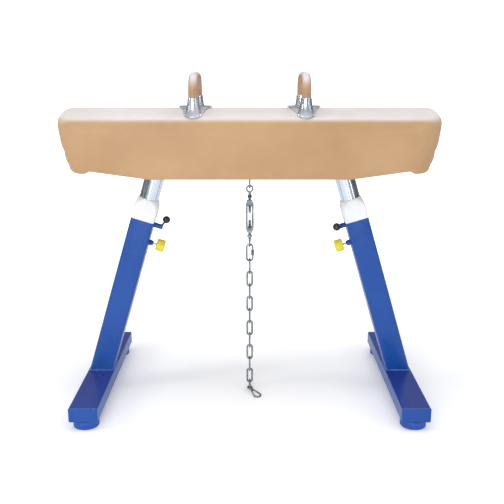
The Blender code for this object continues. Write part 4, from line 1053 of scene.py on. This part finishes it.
# ------------------------------------------------------------------ clamps and plungers
# A screw in a welded boss pinches the post; its bent lever ends in a black ball. Below it a
# sprung pin drops into the post's index holes and is pulled by a ribbed yellow knob.
black_phenolic = surface_finish(
    "black_ball", (0.008, 0.008, 0.009), (0.014, 0.014, 0.015), 40.0, (0.10, 0.18), 600.0, 0.00005,
    Coat_Weight=0.6,
)
yellow_plastic = surface_finish(
    "yellow_knob", (0.76, 0.66, 0.030), (0.84, 0.76, 0.055), 30.0, (0.30, 0.44), 500.0, 0.00015,
    Coat_Weight=0.1,
)
FACE = TUBE / 2              # distances below run inward from the leg's axis
WELD_FLARE = 0.002
BOSS_RADIUS, BOSS_LENGTH, BOSS_BORE, HUB_LENGTH = 0.011, 0.024, 0.0065, 0.016
SPINDLE_TIP, SPINDLE_RADIUS = 0.0425, 0.0058
LEVER_RADIUS, BALL_RADIUS, BALL_BORE = 0.0045, 0.017, 0.0052
BALL_DEPTH = 0.45            # the lever ends this share of the radius short of the ball's middle
PLUNGER_BOSS, PLUNGER_TIP, PLUNGER_BOSS_LENGTH = 0.012, 0.010, 0.019
PIN_TIP, PIN_RADIUS, PIN_BORE, PIN_IN_KNOB = 0.0424, 0.004, 0.0045, 0.016
KNOB_START, KNOB_LENGTH, KNOB_RADIUS, KNOB_BORE = 0.084, 0.036, 0.027, 0.0048
FLUTES, FLUTE_DEPTH = 24, 0.035


def along(profile, origin, axis, sides_round=40):
    """A turned shape whose heights run along an axis."""
    axis = np.asarray(axis, float)
    helper = Y if abs(axis[1]) < 0.9 else X
    first = np.cross(helper, axis)
    first /= np.linalg.norm(first)
    return in_frame(turned(profile, sides_round), origin, first, np.cross(axis, first), axis)


def ribbed(grid, count, depth):
    """Presses flutes, a cosine round the axis, into a turned grid; they fade at its ends."""
    rows, columns = grid.shape[:2]
    wave = 1 - depth * (0.5 + 0.5 * np.cos(np.arange(columns) * 2 * math.pi * count / columns))
    fade = np.sin(np.clip(np.linspace(0, math.pi, rows), 0, math.pi)) ** 0.3
    shape = 1 + (wave - 1)[None, :, None] * fade[:, None, None]
    centre = grid.mean(axis=1, keepdims=True)
    return centre + (grid - centre) * shape


for side in SIDES:
    top, inward, sideways, up = leg_frame(side)
    stand, lever_body, plunger_body = f"{side}_stand", f"{side}_clamp_lever", f"{side}_plunger"
    clamp_axis = top - up * CLAMP_DROP
    boss_end = FACE + BOSS_LENGTH
    boss_profile = [
        (FACE, BOSS_BORE), (FACE, BOSS_RADIUS + WELD_FLARE), (FACE + WELD_FLARE, BOSS_RADIUS),
        (boss_end - 0.001, BOSS_RADIUS), (boss_end, BOSS_RADIUS - 0.001), (boss_end, BOSS_BORE),
    ]
    boss = solid(f"{side}_boss", along(boss_profile, clamp_axis, inward), finish=blue_paint)
    fitted(boss, stand, "blue_paint", f"{side}_clamp_boss")

    hub_start, hub_end = boss_end + SEAT_GAP, boss_end + SEAT_GAP + HUB_LENGTH
    hub_profile = [
        (SPINDLE_TIP, SPINDLE_RADIUS - 0.0003), (hub_start, SPINDLE_RADIUS),
        (hub_start, BOSS_RADIUS - 0.001), (hub_start + 0.001, BOSS_RADIUS), (hub_end - 0.0025, BOSS_RADIUS),
        (hub_end - 0.0008, BOSS_RADIUS - 0.0012), (hub_end, BOSS_RADIUS - 0.004),
    ]
    hub = along(hub_profile, clamp_axis, inward)
    ball_low, ball_high = corners_of(f"{side}_clamp_ball")
    ball_centre = (ball_low + ball_high) / 2
    arm_start = clamp_axis + inward * (hub_start + HUB_LENGTH / 2)
    reach = np.linalg.norm(ball_centre - arm_start)
    arm_way = (ball_centre - arm_start) / reach
    arm_end = reach - BALL_RADIUS * BALL_DEPTH
    arm_profile = [(0.0, LEVER_RADIUS), (arm_end - 0.001, LEVER_RADIUS), (arm_end, LEVER_RADIUS - 0.0008)]
    arm = along(arm_profile, arm_start, arm_way, 24)
    lever = solid(f"{side}_lever", hub, arm, finish=blue_paint)
    fitted(lever, lever_body, "blue_paint", f"{side}_clamp_screw")
    sweep = np.linspace(math.radians(22), math.pi - 0.01, 30)
    ball_round = np.column_stack([-BALL_RADIUS * np.cos(sweep), BALL_RADIUS * np.sin(sweep)])
    ball_profile = [
        (-BALL_RADIUS * BALL_DEPTH, BALL_BORE), (ball_round[0, 0] - 0.0006, BALL_BORE), *ball_round,
    ]
    ball = solid(f"{side}_ball", along(ball_profile, ball_centre, arm_way), finish=black_phenolic)
    fitted(ball, lever_body, "black_ball", f"{side}_clamp_ball")

    plunger_axis = top - up * PLUNGER_DROP
    tip = FACE + PLUNGER_BOSS_LENGTH
    housing_profile = [
        (FACE, PIN_BORE), (FACE, PLUNGER_BOSS + WELD_FLARE), (FACE + WELD_FLARE, PLUNGER_BOSS),
        (FACE + 0.010, PLUNGER_BOSS), (tip - 0.002, PLUNGER_TIP), (tip, PLUNGER_TIP - 0.0015),
        (tip, PIN_BORE),
    ]
    housing = solid(f"{side}_housing", along(housing_profile, plunger_axis, inward), finish=blue_paint)
    fitted(housing, stand, "blue_paint", f"{side}_plunger_boss")
    pin_profile = [
        (PIN_TIP, PIN_RADIUS - 0.001), (PIN_TIP + 0.001, PIN_RADIUS), (KNOB_START + PIN_IN_KNOB, PIN_RADIUS),
    ]
    pin = solid(f"{side}_pin", along(pin_profile, plunger_axis, inward), finish=zinc)
    fitted(pin, plunger_body, "zinc_steel", f"{side}_plunger_pin")
    knob_end = KNOB_START + KNOB_LENGTH
    rise = np.linspace(KNOB_START + 0.0035, knob_end - 0.0035, 12)
    near_edge = [
        (KNOB_START, KNOB_BORE), (KNOB_START, KNOB_RADIUS - 0.006),
        (KNOB_START + 0.0008, KNOB_RADIUS - 0.0025),
    ]
    far_edge = [(knob_end - 0.0008, KNOB_RADIUS - 0.0025), (knob_end, KNOB_RADIUS - 0.006)]
    dimple = [(knob_end, 0.009), (knob_end - 0.0008, 0.008), (knob_end - 0.0008, 0.0001)]
    knob_profile = [*near_edge, *[(h, KNOB_RADIUS) for h in rise], *far_edge, *dimple]
    knob_grid = ribbed(along(knob_profile, plunger_axis, inward, 6 * FLUTES), FLUTES, FLUTE_DEPTH)
    knob = solid(f"{side}_knob", knob_grid, finish=yellow_plastic)
    fitted(knob, plunger_body, "yellow_knob", f"{side}_plunger_knob")

# ------------------------------------------------------------------ tension chain
# Zinc-plated hardware: an anchor loop, a turnbuckle between two eye bolts with locknuts, a
# quick link with its screw sleeve, and welded chain. The snap hook is dark nickel.
TOUCH = 0.0083               # between the centres of two crossed 8 mm wires
WIRE = 0.004
LINK_BARS, LINK_BEND = 0.0664, 0.011
QUICK_BARS, QUICK_BEND = 0.0746, 0.013
UPPER_EYE, LOWER_EYE = 0.01325, 0.01275
STEM, THREAD_PITCH, THREAD_DEPTH = 0.006, 0.00175, 0.0008
STEM_LENGTH = 0.096          # from an eye's centre to the end of its thread
THREAD_START = 0.022
LUMP_SIZE, LUMP_LENGTH = 0.13, 0.0035    # the weld of a link: a share of its wire, and how long
LINK_SIDES = 14

chain_zinc = surface_finish(
    "chain_zinc", (0.19, 0.215, 0.235), (0.40, 0.44, 0.47), 55.0, (0.20, 0.40), 700.0, 0.0002, metallic=1.0
)
dark_nickel = surface_finish(
    "hook_steel", (0.20, 0.21, 0.22), (0.34, 0.35, 0.37), 60.0, (0.14, 0.28), 700.0, 0.0001, metallic=1.0
)


def stadium(bars, bend, arc_steps=13, side_steps=9):
    """A link's centreline as (across, down): two half rounds joined by straight sides."""
    top = arc_points((0, bend), bend, 0, -math.pi, arc_steps)
    foot = arc_points((0, bars - bend), bend, math.pi, 0, arc_steps)
    side = np.linspace(bend, bars - bend, side_steps)[1:-1]
    left = np.column_stack([np.full_like(side, -bend), side])
    right = np.column_stack([np.full_like(side, bend), side[::-1]])
    return np.concatenate([top, left, foot, right])


def circle(radius, middle, steps):
    """A round eye's centreline as (across, down), its middle some way down."""
    turn = np.linspace(0, 2 * math.pi, steps, endpoint=False)
    return np.column_stack([radius * np.cos(turn), middle + radius * np.sin(turn)])


def laid_out(line, origin, across, down):
    """A flat line of (across, down) pairs, put in space."""
    return np.asarray(origin) + line[:, :1] * across + line[:, 1:] * down


def flat_wire(line, radii, origin, across, down, sides_round, closed=True):
    """Wire along a flat line of (across, down) pairs."""
    return wire(laid_out(line, origin, across, down), radii, np.cross(across, down), closed, sides_round)


def link_rings(origin, across, down, bars, bend, lump_size=0.0):
    """A closed link hung on the bar at the origin, with the lump of its weld on one side."""
    line = stadium(bars, bend) - (0, TOUCH)
    lump = np.exp(-((line[:, 1] - (bars / 2 - TOUCH)) / LUMP_LENGTH) ** 2) * (line[:, 0] < 0)
    return flat_wire(line, WIRE * (1 + lump_size * lump), origin, across, down, LINK_SIDES)


def eye_bolt(name, origin, across, down, bend, body, node):
    """A forged eye with its screwed stem: fine V-shaped rings stand for the thread."""
    eye = flat_wire(circle(bend, 0, 48), WIRE, origin, across, down, 16)
    steps = np.arange(THREAD_START, STEM_LENGTH, THREAD_PITCH / 2)
    radii = STEM - THREAD_DEPTH * (np.arange(len(steps)) % 2)
    neck = [(bend - 0.001, 0.0052), (THREAD_START - 0.002, STEM)]
    end = (STEM_LENGTH + 0.010, STEM - 0.0012)
    stem = along([*neck, *zip(steps, radii), end], origin, down, 20)
    made = solid(name, eye, stem, finish=chain_zinc, wrap_rows=(True, False))
    fitted(made, body, "link_steel", node)


def joint_place(name):
    """Where a joint's axis runs."""
    return np.array(joints[name]["pos_m"], float)


anchor_bar = joint_place("upper_eye_swing")
lower_bar = joint_place("quick_link_swing")
eye_bolt("upper_eye", anchor_bar + Z * (TOUCH - UPPER_EYE), X, -Z, UPPER_EYE, "upper_screw", "upper_eye_bolt")
eye_bolt("lower_eye", lower_bar + Z * LOWER_EYE, Y, Z, LOWER_EYE, "lower_screw", "lower_eye_bolt")

for node, body, bevel in (
    ("chain_anchor", "horse", 0.0), ("upper_locknut", "upper_screw", 0.0007),
    ("turnbuckle_body", "turnbuckle", 0.0018), ("lower_locknut", "lower_screw", 0.0007),
    ("quick_link_sleeve", "quick_sleeve", 0.0006),
):
    made = finished_copy(node, f"{node}_finished", chain_zinc, bevel)
    fitted(made, body, "link_steel")

quick_rings = link_rings(lower_bar, X, -Z, QUICK_BARS, QUICK_BEND)
quick = solid("quick_link_wire", quick_rings, finish=chain_zinc, wrap_rows=True)
fitted(quick, "quick_link", "link_steel", "quick_link")

LINK_COUNT = sum(name.startswith("link_") for name in joints)
for number in range(1, LINK_COUNT + 1):
    body = f"link_{number:02d}"
    joint = next(j for j in joints.values() if j["child"] == body)
    lying = number == LINK_COUNT
    if lying:
        across, down = Z, -Y
    else:
        across, down = (Y if joint["axis"][0] else X), -Z
    rings = link_rings(joint_place(joint["name"]), across, down, LINK_BARS, LINK_BEND, LUMP_SIZE)
    link = solid(f"chain_{number:02d}", rings, finish=chain_zinc, wrap_rows=True)
    fitted(link, body, "link_steel", f"chain_link_{number:02d}")

# The hook hangs on a swivel eye, and its sprung gate closes the left side of the pear.
HOOK_WIRE, HOOK_BARS, HOOK_TOP_BEND, HOOK_FOOT_BEND = 0.0035, 0.055, 0.008, 0.0155
SWIVEL_BEND, BARREL_RADIUS, BARREL_LENGTH, HOOK_COLLAR = 0.009, 0.0075, 0.012, 0.005
SWIVEL_TOUCH = 0.0078
GATE_WIRE = 0.003
hook_bar = joint_place("hook_turn")
swivel = joints["hook_swivel"]
hook_down = -np.array(swivel["axis"], float)
hook_across = np.cross(Z, hook_down)
hook_across /= np.linalg.norm(hook_across)
eye_centre = SWIVEL_BEND - SWIVEL_TOUCH
barrel_start = eye_centre + SWIVEL_BEND
barrel_end = barrel_start + BARREL_LENGTH
crown_at = barrel_end + SEAT_GAP + HOOK_COLLAR

hook_frame = (hook_bar, hook_across, hook_down)
ring_grid = flat_wire(circle(SWIVEL_BEND, eye_centre, 40), HOOK_WIRE, *hook_frame, LINK_SIDES)
swivel_ring = solid("swivel_ring", ring_grid, finish=dark_nickel, wrap_rows=True)
barrel_profile = [
    (barrel_start - 0.001, 0.004), (barrel_start, BARREL_RADIUS - 0.0015),
    (barrel_start + 0.0015, BARREL_RADIUS), (barrel_end - 0.0045, BARREL_RADIUS),
    (barrel_end - 0.004, BARREL_RADIUS - 0.0006), (barrel_end - 0.003, BARREL_RADIUS),
    (barrel_end - 0.0008, BARREL_RADIUS), (barrel_end, BARREL_RADIUS - 0.0008),
]
barrel = solid("swivel_barrel", along(barrel_profile, hook_bar, hook_down, 28), finish=dark_nickel)
fitted(swivel_ring, "swivel_eye", "hook_steel", "swivel_eye")
fitted(barrel, "swivel_eye", "hook_steel")

top_centre, foot_centre = crown_at + HOOK_TOP_BEND, crown_at + HOOK_BARS - HOOK_FOOT_BEND
spread = math.asin((HOOK_FOOT_BEND - HOOK_TOP_BEND) / (foot_centre - top_centre))
top_arc = arc_points((0, top_centre), HOOK_TOP_BEND, math.pi + spread, 2 * math.pi - spread, 16)
foot_arc = arc_points((0, foot_centre), HOOK_FOOT_BEND, -spread, math.pi + spread, 26)
gate_from, gate_to = top_arc[0], foot_arc[-1]
gate_way = (gate_to - gate_from) / np.linalg.norm(gate_to - gate_from)
side_from = gate_from + 0.16 * (gate_to - gate_from)
straight = np.linspace(top_arc[-1], foot_arc[0], 8)[1:-1]
hook_line = np.concatenate([[side_from, (side_from + gate_from) / 2], top_arc, straight, foot_arc])
hook_radii = round_end(hook_line, HOOK_WIRE, 2)
hook_grid = flat_wire(hook_line, hook_radii, *hook_frame, 16, closed=False)
collar_profile = [
    (barrel_end + SEAT_GAP, 0.0045), (barrel_end + 0.0008, 0.0063), (crown_at - 0.001, 0.0065),
    (crown_at, 0.0045),
]
hook = solid("hook_wire", hook_grid, along(collar_profile, hook_bar, hook_down, 24), finish=dark_nickel)
fitted(hook, "snap_hook", "hook_steel", "snap_hook")

gate_line = np.linspace(side_from + gate_way * 0.0019, gate_to - gate_way * 0.001, 12)
gate_grid = flat_wire(gate_line, round_end(gate_line, GATE_WIRE, 2), *hook_frame, LINK_SIDES, closed=False)
gate = solid("hook_gate", gate_grid, finish=chain_zinc)
fitted(gate, "snap_gate", "link_steel", "snap_gate")
